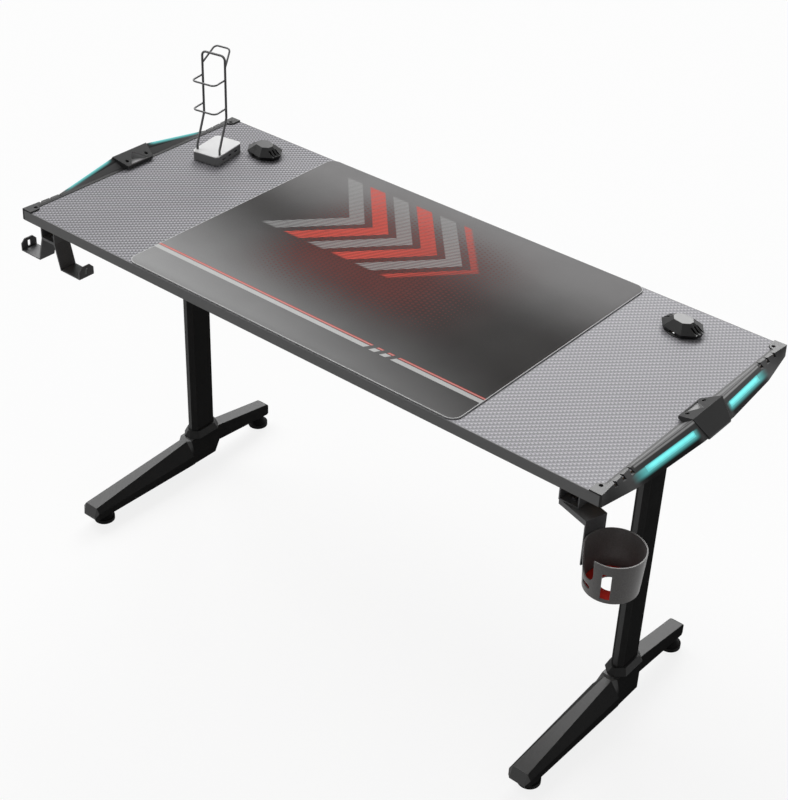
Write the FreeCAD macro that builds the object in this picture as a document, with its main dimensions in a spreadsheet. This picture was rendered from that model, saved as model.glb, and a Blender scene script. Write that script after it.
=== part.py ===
"""Gaming desk with lit end trims, a desk mat, a headset hook, a cup holder and a controller stand.

Millimetres. The origin is on the floor under the middle of the top, X runs to the right, Y to the back, Z up.
"""

import FreeCAD, Part
import math
import os
from types import SimpleNamespace

import Sketcher
from FreeCAD import Placement, Rotation, Vector

# Driving sizes in millimetres and degrees, written to the sheet under these names
SIZES = {
    # Top
    "desk_length": 1392, "desk_depth": 600, "desk_height": 767, "board_thickness": 21,
    "laminate_thickness": 1, "band_thickness": 2, "band_bevel": 0.8, "mat_end": 296, "mat_side": 2,
    "mat_thickness": 3, "mat_corner": 22, "mat_shift": 3,
    # End trims
    "lip_reach": 12, "lip_edge": 1, "lip_bevel": 5, "lip_thickness": 3, "corner_out": 4,
    "corner_low_out": 5, "corner_lift": 1, "rib_out": -3, "rib_low_out": 23, "rib_rise": 1, "rib_lift": 2,
    "wing_out": 14, "wing_rise": 19, "wing_low_out": 42, "wing_lift": 14, "rib_start": 206,
    "rib_pitch": 23.5, "rib_width": 8, "rib_length": 7, "rib_cut": 8, "plate_reach": 21,
    "plate_depth": 30, "plate_cut": 8, "block_length": 96, "block_toe_length": 70,
    "block_reach": 20, "block_out": 14, "block_low_out": 44, "block_rise": 21, "block_toe_rise": 6,
    "block_drop": 13, "block_edge": 4, "block_gap": 0.2, "recess_length": 46, "recess_width": 25.5,
    "recess_floor": 4.5, "recess_set": 2.5, "light_near": 58, "light_far": 182, "light_top": 0.36,
    "light_bottom_near": 0.63, "light_bottom_far": 0.67, "light_cut": 6.2,
    "diffuser_thickness": 3.4, "strip_thickness": 1.2, "light_gap": 0.2, "trim_screw_in": 12,
    "trim_screw_end": 21, "block_screw_in": 8, "block_screw_span": 54,
    # Fasteners
    "screw": 4, "screw_head": 7.4, "screw_head_height": 2.2, "screw_grip": 14, "fit": 0.2,
    "frame_bolt": 6, "frame_bolt_head": 11, "frame_bolt_head_height": 4,
    # Cable grommets
    "grommet_left_inset": 175, "grommet_right_inset": 167, "grommet_set": 82, "cap_turn": -10,
    "grommet_hole": 56, "sleeve_wall": 2, "flange": 62, "flange_thickness": 1.6, "sleeve_drop": 16,
    "cap_length": 84, "cap_depth": 62, "cap_height": 23, "cap_waist": 9, "cap_top_length": 40,
    "cap_top_depth": 30, "cap_cut": 20, "cap_base_inset": 3, "cap_hollow": 13, "spigot_wall": 2,
    "spigot_drop": 9, "cap_fit": 0.3, "groove_width": 4.4, "groove_pitch": 8,
    "groove_length": 17, "groove_height": 10, "notch_width": 13, "notch_height": 8,
    # Legs
    "leg_inset": 103.5, "column_y": 65.5, "column_width": 28, "column_depth": 70, "column_cut": 9,
    "column_wall": 2, "socket_floor": 45, "socket_gap": 0.3, "plug_height": 18,
    "foot_underside": 27, "foot_front": -286, "foot_rear": 278, "foot_wall": 4,
    "nose_tip_width": 36, "nose_tip_side": 31, "nose_tip_height": 35, "nose_length": 7,
    "nose_width": 50, "nose_top_width": 34, "nose_side": 44, "nose_height": 56, "waist_width": 62,
    "waist_top_width": 17, "waist_side": 50, "waist_height": 82, "waist_run": 22,
    "bulge_width": 60, "bulge_top_width": 35, "bulge_side": 48, "bulge_height": 84,
    "bulge_run": 15, "bulge_back": 14.5, "arm_width": 32, "arm_top_width": 31, "arm_side": 80,
    "arm_height": 82, "arm_under": 40, "arm_back": 42.5, "tail_width": 32, "tail_top_width": 29,
    "tail_side": 54, "tail_height": 55.5, "tail_length": 6, "tail_tip_width": 29,
    "tail_tip_top_width": 26, "tail_tip_side": 49, "tail_tip_height": 51, "tip_lift": 1,
    "collar_rim": 5, "collar_spread": 6, "collar_cut": 16, "collar_height": 16,
    "glide_front_y": -244, "glide_rear_y": 256, "glide_pad": 46, "glide_pad_height": 9,
    "glide_hub": 20, "glide_neck": 24, "stud": 8, "stud_top": 46, "stud_gap": 0.1, "insert": 14,
    "insert_set": 2, "insert_height": 14, "stud_well": 50,
    # Under frame
    "bracket_width": 70, "bracket_height": 30, "bracket_front_set": 100, "bracket_rear_set": 20,
    "sheet_steel": 2.5, "head_plate_width": 62, "head_plate_depth": 130, "head_plate_thickness": 5,
    "head_bolt_span": 104, "beam_front_y": -110, "beam_rear_y": 190, "beam_size": 25,
    "beam_wall": 2, "beam_end": 8,
    # Headset hook and cup holder
    "hook_inset": 55, "cup_inset": 61, "holder_set": 10, "holder_width": 40, "holder_depth": 38,
    "holder_drop": 32, "holder_flange": 12, "swivel_bolt": 8, "swivel_head": 15,
    "swivel_head_height": 5, "swivel_fit": 0.08, "swivel_gap": 0.2, "swivel_nut_height": 6.5,
    "hook_fall": 53, "hook_slant": 14, "hook_shelf": 55, "hook_tip": 23, "hook_corner": 9,
    "hook_slot_width": 7, "hook_slot_length": 13, "cup_turn": -17, "cup_arm_width": 44,
    "cup_tail": 14, "cup_reach": 56, "cup_plate_drop": 91, "cup_flange": 10, "cup_rim": 104,
    "cup_base": 94, "cup_rim_drop": 26, "cup_height": 78, "cup_wall": 2.5, "cup_hole": 40,
    "cup_seat": 0.3, "cup_handle_turn": 62, "handle_width": 36, "handle_sill": 30,
    "strap_slot_width": 22, "strap_slot_height": 9, "strap_slot_lift": 12, "window_turn": 48,
    "window_width": 16, "window_height": 54, "window_lift": 6, "cup_pad_thickness": 2,
    # Light control under the top
    "control_inset": 266, "control_set": 65, "control_length": 90, "control_width": 46,
    "control_height": 22, "button": 14, "button_rise": 3, "button_travel": 2, "button_gap": 0.3,
    "inlet": 9, "inlet_bore": 6, "inlet_out": 5,
    # Controller stand on the top
    "stand_inset": 105, "stand_set": 157, "stand_turn": 10, "stand_width": 66, "stand_length": 92,
    "stand_foot": 12, "stand_foot_height": 1.5, "stand_height": 18, "stand_plate_thickness": 2,
    "stand_corner": 6, "port_length": 13, "port_height": 6, "port_depth": 12, "port_pitch": 22,
    "wire": 5, "loop_wire": 4, "wire_bend": 10, "rack_width": 57, "rack_inset": 15,
    "rack_lean": 28, "rack_knee": 74, "rack_height": 212, "loop_width": 38, "loop_back": 34,
    "loop_drop": 26, "loop_rise": 3, "cradle_out": 40, "cradle_low": 96, "cradle_high": 160,
}

SIDES = (("left", -1), ("right", 1))
ENDS = (("front", -1), ("rear", 1))


class Size:
    """A number together with the sheet formula that gives it."""

    def __init__(self, value, text):
        self.value = value
        self.text = text

    def __add__(self, other):
        other = size(other)
        return Size(self.value + other.value, f"({self.text} + {other.text})")

    def __mul__(self, other):
        other = size(other)
        return Size(self.value * other.value, f"({self.text} * {other.text})")

    def __truediv__(self, other):
        other = size(other)
        return Size(self.value / other.value, f"({self.text} / {other.text})")

    def __neg__(self):
        return Size(-self.value, f"(-1 * {self.text})")

    def __sub__(self, other):
        return self + -size(other)

    def __rsub__(self, other):
        return -self + other

    __radd__ = __add__
    __rmul__ = __mul__


def size(thing):
    """A plain number as a Size, and a Size as it is."""
    if isinstance(thing, Size):
        return thing
    return Size(float(thing), f"({float(thing)})")


def cosine(angle):
    return Size(math.cos(math.radians(angle.value)), f"cos({angle.text} * 1deg)")


def sine(angle):
    return Size(math.sin(math.radians(angle.value)), f"sin({angle.text} * 1deg)")


doc = FreeCAD.newDocument("gaming_desk")
sheet = doc.addObject("Spreadsheet::Sheet", "sizes")
for row, (alias, number) in enumerate(SIZES.items(), start=1):
    sheet.set(f"A{row}", alias)
    sheet.set(f"B{row}", str(number))
    sheet.setAlias(f"B{row}", alias)
doc.recompute()
S = SimpleNamespace(**{alias: Size(float(sheet.get(alias)), f"sizes.{alias}") for alias in SIZES})

# Heights and faces that several pieces share
BOARD_TOP = S.desk_height - S.laminate_thickness
BOARD_BOTTOM = BOARD_TOP - S.board_thickness
HALF_LENGTH = S.desk_length / 2
HALF_DEPTH = S.desk_depth / 2
LEG_X = HALF_LENGTH - S.leg_inset
BRACKET_FRONT = S.bracket_front_set - HALF_DEPTH
BRACKET_REAR = HALF_DEPTH - S.bracket_rear_set
GROMMET_LEFT = S.grommet_left_inset - HALF_LENGTH
GROMMET_RIGHT = HALF_LENGTH - S.grommet_right_inset
GROMMET_Y = HALF_DEPTH - S.grommet_set
HOOK_X = S.hook_inset - HALF_LENGTH
CUP_X = HALF_LENGTH - S.cup_inset
HOLDER_FRONT = S.holder_set - HALF_DEPTH
HOLDER_Y = HOLDER_FRONT + S.holder_depth / 2
CONTROL_X = HALF_LENGTH - S.control_inset
CONTROL_Y = S.control_set - HALF_DEPTH
STAND_X = S.stand_inset - HALF_LENGTH
STAND_Y = HALF_DEPTH - S.stand_set
HOLDER_BOTTOM = BOARD_BOTTOM - S.holder_drop
SWIVEL_TOP = HOLDER_BOTTOM - S.swivel_gap
WEB_BOTTOM = BOARD_BOTTOM - S.sheet_steel
COLUMN_TOP = WEB_BOTTOM - S.head_plate_thickness
LIP_TOP = S.desk_height + S.lip_thickness

pieces = []


def keep(piece, name):
    """List a finished sub-part under the name of its file."""
    piece.Label = name
    pieces.append(piece)
    return piece


def tie(thing, prop, value):
    """Bind a property to the sheet."""
    thing.setExpression(prop, size(value).text)


def place(thing, x=0, y=0, z=0):
    """Bind the place of an object to the sheet."""
    for axis, value in zip("xyz", (x, y, z)):
        tie(thing, f"Placement.Base.{axis}", value)
    return thing


def across(side, low, high):
    """Two X coordinates of the right side, or their mirror image on the left, lower one first."""
    return (size(low), size(high)) if side > 0 else (-size(high), -size(low))


def flip(side, points):
    """An outline of the right side, or its mirror image."""
    return [(x * side, y) for x, y in points]


def hold(drawing, geometry, point, x, y):
    """Hold one point of a sketch at two driven coordinates."""
    for kind, value in (("DistanceX", size(x)), ("DistanceY", size(y))):
        index = drawing.addConstraint(Sketcher.Constraint(kind, -1, 1, geometry, point, value.value))
        drawing.setExpression(f"Constraints[{index}]", value.text)


def sketch(body, plane, offset, *loops):
    """Closed outlines on a plane of the body: a list of corners each, or a tuple of centre and diameter."""
    drawing = body.newObject("Sketcher::SketchObject", f"{body.Name}_sketch")
    drawing.AttachmentSupport = [(next(f for f in body.Origin.OriginFeatures if f.Role == plane), "")]
    drawing.MapMode = "FlatFace"
    tie(drawing, "AttachmentOffset.Base.z", offset)
    for loop in loops:
        if isinstance(loop, tuple):
            x, y, diameter = (size(value) for value in loop)
            centre = Vector(x.value, y.value, 0)
            index = drawing.addGeometry(Part.Circle(centre, Vector(0, 0, 1), diameter.value / 2))
            hold(drawing, index, 3, x, y)
            width = drawing.addConstraint(Sketcher.Constraint("Diameter", index, diameter.value))
            drawing.setExpression(f"Constraints[{width}]", diameter.text)
            continue
        corners = [Vector(size(x).value, size(y).value, 0) for x, y in loop]
        ends = corners[1:] + corners[:1]
        lines = [drawing.addGeometry(Part.LineSegment(a, b)) for a, b in zip(corners, ends)]
        for line, following, (x, y) in zip(lines, lines[1:] + lines[:1], loop):
            drawing.addConstraint(Sketcher.Constraint("Coincident", line, 2, following, 1))
            hold(drawing, line, 1, x, y)
    return drawing


def pad(body, drawing, length, kind="Pad", back=False):
    """A Pad or Pocket of a sketch; a pocket goes against the sketch's normal, and back turns either round."""
    feature = body.newObject(f"PartDesign::{kind}", f"{body.Name}_{kind.lower()}")
    feature.Profile = drawing
    tie(feature, "Length", length)
    feature.Reversed = back
    return feature


def loft(body, drawings, kind="AdditiveLoft"):
    """A straight-sided loft through sketches."""
    feature = body.newObject(f"PartDesign::{kind}", f"{body.Name}_loft")
    feature.Profile = drawings[0]
    feature.Sections = drawings[1:]
    feature.Ruled = True
    return feature


def new_body(name):
    return doc.addObject("PartDesign::Body", name)


def box(name, x, y, z):
    """A box from pairs of low and high coordinates."""
    piece = doc.addObject("Part::Box", name)
    for prop, (low, high) in zip(("Length", "Width", "Height"), (x, y, z)):
        tie(piece, prop, size(high) - low)
    return place(piece, x[0], y[0], z[0])


def rod(name, x, y, z, diameter):
    """A round bar along Z, or along the axis whose coordinate is a pair."""
    piece = doc.addObject("Part::Cylinder", name)
    span = next(pair for pair in (x, y, z) if isinstance(pair, tuple))
    tie(piece, "Radius", size(diameter) / 2)
    tie(piece, "Height", size(span[1]) - span[0])
    if isinstance(x, tuple):
        piece.Placement = Placement(Vector(), Rotation(Vector(0, 1, 0), 90))
    if isinstance(y, tuple):
        piece.Placement = Placement(Vector(), Rotation(Vector(1, 0, 0), -90))
    starts = [pair[0] if isinstance(pair, tuple) else pair for pair in (x, y, z)]
    return place(piece, *starts)


def cone(name, x, y, z, low, high):
    """A cone along Z from a pair of heights and two diameters."""
    piece = doc.addObject("Part::Cone", name)
    tie(piece, "Radius1", size(low) / 2)
    tie(piece, "Radius2", size(high) / 2)
    tie(piece, "Height", size(z[1]) - z[0])
    return place(piece, x, y, z[0])


def fuse(name, *shapes):
    piece = doc.addObject("Part::MultiFuse", name)
    piece.Shapes = list(shapes)
    return piece


def group(name, shapes):
    piece = doc.addObject("Part::Compound", name)
    piece.Links = list(shapes)
    return piece


def cut(name, base, *tools):
    piece = doc.addObject("Part::Cut", name)
    piece.Base = base
    piece.Tool = tools[0] if len(tools) == 1 else fuse(f"{name}_tools", *tools)
    return piece


def octagon(x, y, length, depth, corner_x, corner_y=None):
    """A rectangle about a point with its corners cut off."""
    half_x, half_y = length / 2, depth / 2
    near_x, near_y = half_x - corner_x, half_y - (corner_x if corner_y is None else corner_y)
    quarter = ((1, 1), (-1, 1), (-1, -1), (1, -1))
    corners = []
    for sx, sy in quarter:
        pair = [(x + half_x * sx, y + near_y * sy), (x + near_x * sx, y + half_y * sy)]
        corners += pair if sx * sy > 0 else pair[::-1]
    return corners


# Screws through the trims into the board, from above: X, Y and the height of the seat of the head
def trim_screw_places():
    for side in (-1, 1):
        for end in (-1, 1):
            x = (HALF_LENGTH - S.trim_screw_in) * side
            yield x, (HALF_DEPTH - S.trim_screw_end) * end, LIP_TOP - S.screw_head_height


def block_screw_places():
    for side in (-1, 1):
        for end in (-1, 1):
            x = (HALF_LENGTH - S.block_screw_in) * side
            yield x, S.block_screw_span / 2 * end, LIP_TOP + S.block_gap + S.recess_floor / 2


# Screws through the steel parts into the board, from below: X, Y, height of the seat of the head
def bracket_screw_places():
    for side in (-1, 1):
        for y in (BRACKET_FRONT + S.bracket_width / 2, BRACKET_REAR - S.bracket_width / 2):
            for step in (-1, 1):
                yield LEG_X * side + S.bracket_width / 4 * step, y, WEB_BOTTOM


def head_bolt_places():
    for side in (-1, 1):
        for end in (-1, 1):
            yield LEG_X * side, S.column_y + S.head_bolt_span / 2 * end, COLUMN_TOP


def holder_screw_places():
    for middle in (HOOK_X, CUP_X):
        for step in (-1, 1):
            for end in (-1, 1):
                x = middle + (S.holder_width / 2 - S.sheet_steel - S.holder_flange / 2) * step
                yield x, HOLDER_Y + S.holder_depth / 4 * end, WEB_BOTTOM


def control_screw_places():
    for step in (-1, 1):
        x = CONTROL_X + (S.control_length / 2 - S.screw_head) * step
        yield x, CONTROL_Y, BOARD_BOTTOM - S.control_height / 2


def top_drills(name, places, depth):
    """Clearance drills from above, down to a depth under the top of the board."""
    reach = LIP_TOP + S.block_rise + 1
    return [rod(name, x, y, (BOARD_TOP - depth, reach), S.screw + 2 * S.fit) for x, y, seat in places]


def under_drills(name, places, diameter):
    """Clearance drills from under the steel parts into the board."""
    return [
        rod(name, x, y, (COLUMN_TOP - S.holder_drop, BOARD_BOTTOM + S.screw_grip), diameter + 2 * S.fit)
        for x, y, seat in places
    ]


def make_top():
    """Board, laminate, edge bands and mat."""
    x = (-HALF_LENGTH, HALF_LENGTH)
    inner = HALF_DEPTH - S.band_thickness
    core = box("board_core", x, (-inner, inner), (BOARD_BOTTOM, BOARD_TOP))
    skin = box("laminate_sheet", x, (-inner, inner), (BOARD_TOP, S.desk_height))
    holes = [
        rod("grommet_drill", x, GROMMET_Y, (BOARD_BOTTOM - 1, S.desk_height + 1), S.grommet_hole)
        for x in (GROMMET_LEFT, GROMMET_RIGHT)
    ]
    upper = top_drills("trim_pilot", list(trim_screw_places()) + list(block_screw_places()), S.screw_grip)
    lower = under_drills("bracket_pilot", list(bracket_screw_places()) + list(holder_screw_places()), S.screw)
    lower += under_drills("head_pilot", head_bolt_places(), S.frame_bolt)
    lower += under_drills("control_pilot", control_screw_places(), S.screw)
    keep(cut("desktop_board", core, *holes, *upper, *lower), "desktop_board")
    keep(cut("top_laminate", skin, *holes, *upper), "top_laminate")

    for end, sign in ENDS:
        band = new_body(f"{end}_edge_band")
        outer, bevel = HALF_DEPTH * sign, S.band_bevel * sign
        section = [(inner * sign, BOARD_BOTTOM), (outer, BOARD_BOTTOM), (outer, S.desk_height - S.band_bevel),
                   (outer - bevel, S.desk_height), (inner * sign, S.desk_height)]
        pad(band, sketch(band, "YZ_Plane", -HALF_LENGTH, section), S.desk_length)
        keep(band, band.Name)

    mat = new_body("desk_mat")
    half_x, half_y = HALF_LENGTH - S.mat_end, HALF_DEPTH - S.mat_side
    corners = [(S.mat_shift + half_x * sx, half_y * sy) for sx, sy in ((-1, -1), (1, -1), (1, 1), (-1, 1))]
    slab = pad(mat, sketch(mat, "XY_Plane", S.desk_height, corners), S.mat_thickness)
    doc.recompute()
    upright = [f"Edge{n}" for n, edge in enumerate(slab.Shape.Edges, start=1)
               if abs(edge.tangentAt(edge.FirstParameter).z) > 0.9]
    rounding = mat.newObject("PartDesign::Fillet", "mat_corners")
    rounding.Base = (slab, upright)
    tie(rounding, "Radius", S.mat_corner)
    keep(mat, "desk_mat")


def trim_outer(y):
    """Crest and lower edge of a trim's outer face at a place between the ribs and the block: X, Z, X, Z."""
    share = (y - S.block_length / 2) / (S.rib_start - S.block_length / 2)
    crest_x = HALF_LENGTH + S.wing_out + (S.rib_out - S.wing_out) * share
    crest_z = LIP_TOP + S.wing_rise + (S.rib_rise - S.wing_rise) * share
    low_x = HALF_LENGTH + S.wing_low_out + (S.rib_low_out - S.wing_low_out) * share
    low_z = BOARD_BOTTOM + S.wing_lift + (S.rib_lift - S.wing_lift) * share
    return crest_x, crest_z, low_x, low_z


def trim_section(crest_x, crest_z, low_x, low_z):
    """Section of a trim: a lip on the top, a crest, a leaning outer face and an underside."""
    lip = HALF_LENGTH - S.lip_reach
    return [(lip, S.desk_height), (lip, S.desk_height + S.lip_edge), (lip + S.lip_bevel, LIP_TOP),
            (crest_x, crest_z), (low_x, low_z), (HALF_LENGTH, BOARD_BOTTOM), (HALF_LENGTH, S.desk_height)]


def light_section(y, bottom, near, far, gap):
    """Part of the outer face that lights up, between two depths behind the face, narrowed by a gap."""
    crest_x, crest_z, low_x, low_z = trim_outer(y)
    corners = []
    for share, lift, depths in ((S.light_top, -gap, (near, far)), (bottom, gap, (far, near))):
        x = crest_x + (low_x - crest_x) * share
        z = crest_z + (low_z - crest_z) * share + lift
        corners += [(x - depth, z) for depth in depths]
    return corners


def light_bar(body, side, end, near, far, gap, kind="AdditiveLoft"):
    """A bar of a lit stretch, or the pocket for it."""
    drawings = []
    for y, bottom in ((S.light_near + gap, S.light_bottom_near), (S.light_far - gap, S.light_bottom_far)):
        section = light_section(y, bottom, size(near), size(far), size(gap))
        drawings.append(sketch(body, "XZ_Plane", -(y * end), flip(side, section)))
    return loft(body, drawings, kind)


def make_trim(name, side):
    """One end trim with its centre block, diffusers and light strips."""
    trim = new_body(f"trim_{name}_moulding")
    corner = trim_section(HALF_LENGTH + S.corner_out, LIP_TOP, HALF_LENGTH + S.corner_low_out,
                          BOARD_BOTTOM + S.corner_lift)
    half_block = S.block_length / 2
    stations = [(HALF_DEPTH, corner), (S.rib_start, trim_section(*trim_outer(S.rib_start))),
                (half_block, trim_section(*trim_outer(half_block)))]
    along = [(-y, section) for y, section in stations] + [(y, section) for y, section in stations[::-1]]
    loft(trim, [sketch(trim, "XZ_Plane", -y, flip(side, section)) for y, section in along])

    plates = []
    for end in (-1, 1):
        inner, outer = HALF_LENGTH - S.plate_reach, HALF_LENGTH - S.lip_reach + S.lip_bevel
        far = HALF_DEPTH - S.plate_depth
        plate = [(outer, HALF_DEPTH), (inner, HALF_DEPTH), (inner, far + S.plate_cut),
                 (inner + S.plate_cut, far), (outer, far)]
        plates.append([(x * side, y * end) for x, y in plate])
    pad(trim, sketch(trim, "XY_Plane", S.desk_height, *plates), S.lip_thickness)

    ribs = []
    for end in (-1, 1):
        for step in range(3):
            y = S.rib_start + S.rib_width / 2 + S.rib_pitch * step
            share = (y - S.rib_start) / (HALF_DEPTH - S.rib_start)
            tip = HALF_LENGTH + S.rib_out + (S.corner_out - S.rib_out) * share - S.rib_length
            open_side = HALF_LENGTH + S.wing_out
            rib = [(tip, y), (open_side, y + S.rib_width), (open_side, y - S.rib_width)]
            ribs.append([(x * side, rib_y * end) for x, rib_y in rib])
    pad(trim, sketch(trim, "XY_Plane", LIP_TOP + S.rib_rise + 1, *ribs), S.rib_cut + 1, "Pocket")

    loft(trim, block_sections(trim, side, S.block_gap), "SubtractiveLoft")
    for end in (-1, 1):
        light_bar(trim, side, end, -S.wing_out, S.light_cut, 0, "SubtractiveLoft")

    places = [spot for spot in trim_screw_places() if spot[0].value * side > 0]
    block_places = [spot for spot in block_screw_places() if spot[0].value * side > 0]
    drills = top_drills("trim_drill", places + block_places, S.screw_grip)
    bores = [rod("trim_counterbore", x, y, (seat, LIP_TOP + 1), S.screw_head + 2 * S.fit)
             for x, y, seat in places]
    keep(cut(f"side_trim_{name}", trim, *drills, *bores), f"side_trim_{name}")

    make_block(name, side, block_places)
    for end, sign in ENDS:
        bar = new_body(f"light_diffuser_{end}_{name}")
        light_bar(bar, side, sign, 0, S.diffuser_thickness, S.light_gap)
        keep(bar, bar.Name)
    strips = []
    for end, sign in ENDS:
        strip = new_body(f"strip_{end}_{name}")
        back = S.light_cut - 4 * S.light_gap
        light_bar(strip, side, sign, back - S.strip_thickness, back, S.light_gap * 3)
        strips.append(strip)
    keep(group(f"led_strip_{name}", strips), f"led_strip_{name}")


def block_sections(body, side, gap):
    """Sections of a centre block along X, a ramp and a wedge outside, or its room in the trim."""
    seat, low = LIP_TOP + S.block_gap - gap, LIP_TOP - S.block_drop - gap
    toe, crest, edge = HALF_LENGTH - S.block_reach, HALF_LENGTH + S.block_out, HALF_LENGTH + S.block_low_out
    half_toe, half_crest = S.block_toe_length / 2, S.block_length / 2
    toe_top, crest_top = LIP_TOP + S.block_toe_rise, LIP_TOP + S.block_rise
    drawings = []
    for x, under in ((toe, seat), (HALF_LENGTH + 1, seat), (HALF_LENGTH + S.corner_low_out, low),
                     (crest, low)):
        share = (x - toe) / (crest - toe)
        half = half_toe + (half_crest - half_toe) * share + gap
        top = toe_top + (crest_top - toe_top) * share + gap
        drawings.append((x, half, under, top))
    drawings.append((edge, half_toe + gap, low, low + S.block_edge + 2 * gap))
    first = drawings[0]
    drawings[0] = (first[0] - gap, *first[1:])
    return [
        sketch(body, "YZ_Plane", x * side, [(-half, under), (half, under), (half, top), (-half, top)])
        for x, half, under, top in drawings
    ]


def make_block(name, side, places):
    """Centre block of a trim with a sunk triangle and two screw holes."""
    block = new_body(f"block_{name}_moulding")
    loft(block, block_sections(block, side, size(0)))
    top = LIP_TOP + S.block_rise
    near = HALF_LENGTH - S.block_reach + S.recess_set
    half = S.recess_length / 2
    triangle = [(near, -half), (near + S.recess_width, 0), (near, half)]
    recess = sketch(block, "XY_Plane", top, flip(side, triangle))
    pad(block, recess, S.block_rise - S.recess_floor, "Pocket")
    drills = top_drills("block_drill", places, S.screw_grip)
    bores = [rod("block_counterbore", x, y, (seat, top + 1), S.screw_head + 2 * S.fit)
             for x, y, seat in places]
    keep(cut(f"trim_block_{name}", block, *drills, *bores), f"trim_block_{name}")


def screw_down(name, x, y, seat):
    """A screw from above: head on its seat, shank down into the board."""
    head = rod(f"{name}_head", x, y, (seat, seat + S.screw_head_height - S.fit), S.screw_head)
    return fuse(name, head, rod(f"{name}_shank", x, y, (BOARD_TOP - S.screw_grip + 1, seat), S.screw))


def screw_up(name, x, y, seat, bolt, head_size, head_height):
    """A screw from below: head under its seat, shank up into the board."""
    head = rod(f"{name}_head", x, y, (seat - head_height, seat), head_size)
    return fuse(name, head, rod(f"{name}_shank", x, y, (seat, BOARD_BOTTOM + S.screw_grip - 1), bolt))


def make_screws():
    """Groups of like fasteners."""
    places = list(trim_screw_places()) + list(block_screw_places())
    keep(group("trim_screws", [screw_down("trim_screw", *spot) for spot in places]), "trim_screws")
    small = (S.screw, S.screw_head, S.screw_head_height)
    large = (S.frame_bolt, S.frame_bolt_head, S.frame_bolt_head_height)
    accessories = list(holder_screw_places()) + list(control_screw_places())
    rows = (("bracket_screws", bracket_screw_places(), small), ("accessory_screws", accessories, small),
            ("column_head_bolts", head_bolt_places(), large))
    for name, places, sizes in rows:
        keep(group(name, [screw_up(f"{name}_one", *spot, *sizes) for spot in places]), name)


def make_grommet(name, x):
    """Cable grommet: a flanged sleeve in the board and a faceted cap that lifts out."""
    y = GROMMET_Y
    tube = S.grommet_hole - 2 * S.fit
    bore = tube - 2 * S.sleeve_wall
    base = S.desk_height + S.flange_thickness
    sleeve = fuse(f"sleeve_{name}", rod("sleeve_flange", x, y, (S.desk_height, base), S.flange),
                  rod("sleeve_tube", x, y, (S.desk_height - S.sleeve_drop, S.desk_height), tube))
    passage = rod("sleeve_bore", x, y, (S.desk_height - S.sleeve_drop - 1, base + 1), bore)
    keep(cut(f"grommet_sleeve_{name}", sleeve, passage), f"grommet_sleeve_{name}")

    cap = new_body(f"cap_{name}")
    inset = 2 * S.cap_base_inset
    rings = ((base, S.cap_length - inset, S.cap_depth - inset, S.cap_cut),
             (base + S.cap_waist, S.cap_length, S.cap_depth, S.cap_cut),
             (base + S.cap_height, S.cap_top_length, S.cap_top_depth, S.cap_cut / 2))
    middle = (size(0), size(0))
    loft(cap, [sketch(cap, "XY_Plane", z, octagon(*middle, length, depth, corner))
               for z, length, depth, corner in rings])
    spigot = bore - 2 * S.cap_fit
    inside = (0, 0, spigot - 2 * S.spigot_wall)
    pad(cap, sketch(cap, "XY_Plane", base, (0, 0, spigot), inside), S.spigot_drop, back=True)
    pad(cap, sketch(cap, "XY_Plane", base, inside), S.cap_hollow, "Pocket", back=True)

    grooves = []
    waist = base + S.cap_waist
    for side in (-1, 1):
        for step in (-1, 0, 1):
            span = across(side, S.cap_length / 2 + 1 - S.groove_length, S.cap_length / 2 + 1)
            centre = S.groove_pitch * step
            grooves.append(box("cap_groove", span, (centre - S.groove_width / 2, centre + S.groove_width / 2),
                               (waist, waist + S.groove_height)))
    notch = box("cable_notch", (-(S.notch_width / 2), S.notch_width / 2), (-(S.cap_depth / 2) - 1, size(0)),
                (base - 1, base + S.notch_height))
    well = rod("spigot_keep", 0, 0, (base - S.spigot_drop - 1, base), spigot + S.cap_fit)
    lid = cut(f"grommet_cap_{name}", cap, *grooves, cut("notch_outside_spigot", notch, well))
    lid.Placement = Placement(Vector(), Rotation(Vector(0, 0, 1), S.cap_turn.value))
    tie(lid, "Placement.Rotation.Angle", S.cap_turn)
    keep(place(lid, x, y), f"grommet_cap_{name}")


def foot_section(y, half_low, low, half_high, side_top, top):
    """Section of a foot: upright sides, bevels and a flat top."""
    return y, [(-half_low, low), (half_low, low), (half_low, side_top), (half_high, top), (-half_high, top),
               (-half_low, side_top)]


def foot_stations(inset=0):
    """Sections of a foot from its nose to its tail, or those of its hollow inside walls of the inset."""
    low = S.foot_underside
    front, rear = S.column_y - S.column_depth / 2, S.column_y
    rows = (
        (S.foot_front, S.nose_tip_width, low + S.tip_lift, S.nose_top_width, S.nose_tip_side,
         S.nose_tip_height),
        (S.foot_front + S.nose_length, S.nose_width, low, S.nose_top_width, S.nose_side, S.nose_height),
        (front - S.waist_run, S.waist_width, low, S.waist_top_width, S.waist_side, S.waist_height),
        (front - S.bulge_run, S.bulge_width, low, S.bulge_top_width, S.bulge_side, S.bulge_height),
        (rear + S.bulge_back, S.bulge_width, low, S.bulge_top_width, S.bulge_side, S.bulge_height),
        (rear + S.arm_back, S.arm_width, S.arm_under, S.arm_top_width, S.arm_side, S.arm_height),
        (S.foot_rear - S.tail_length, S.tail_width, low, S.tail_top_width, S.tail_side, S.tail_height),
        (S.foot_rear, S.tail_tip_width, low + S.tip_lift, S.tail_tip_top_width, S.tail_tip_side,
         S.tail_tip_height),
    )
    for y, width, under, top_width, side_top, top in rows:
        yield foot_section(y, width / 2 - inset, under - inset, top_width / 2 - inset, side_top - inset,
                           top - inset)


def between(first, second, y):
    """Section at a place between two neighbouring ones."""
    share = (y - first[0]) / (second[0] - first[0])
    corners = [(a[0] + (b[0] - a[0]) * share, a[1] + (b[1] - a[1]) * share)
               for a, b in zip(first[1], second[1])]
    return y, corners


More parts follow.
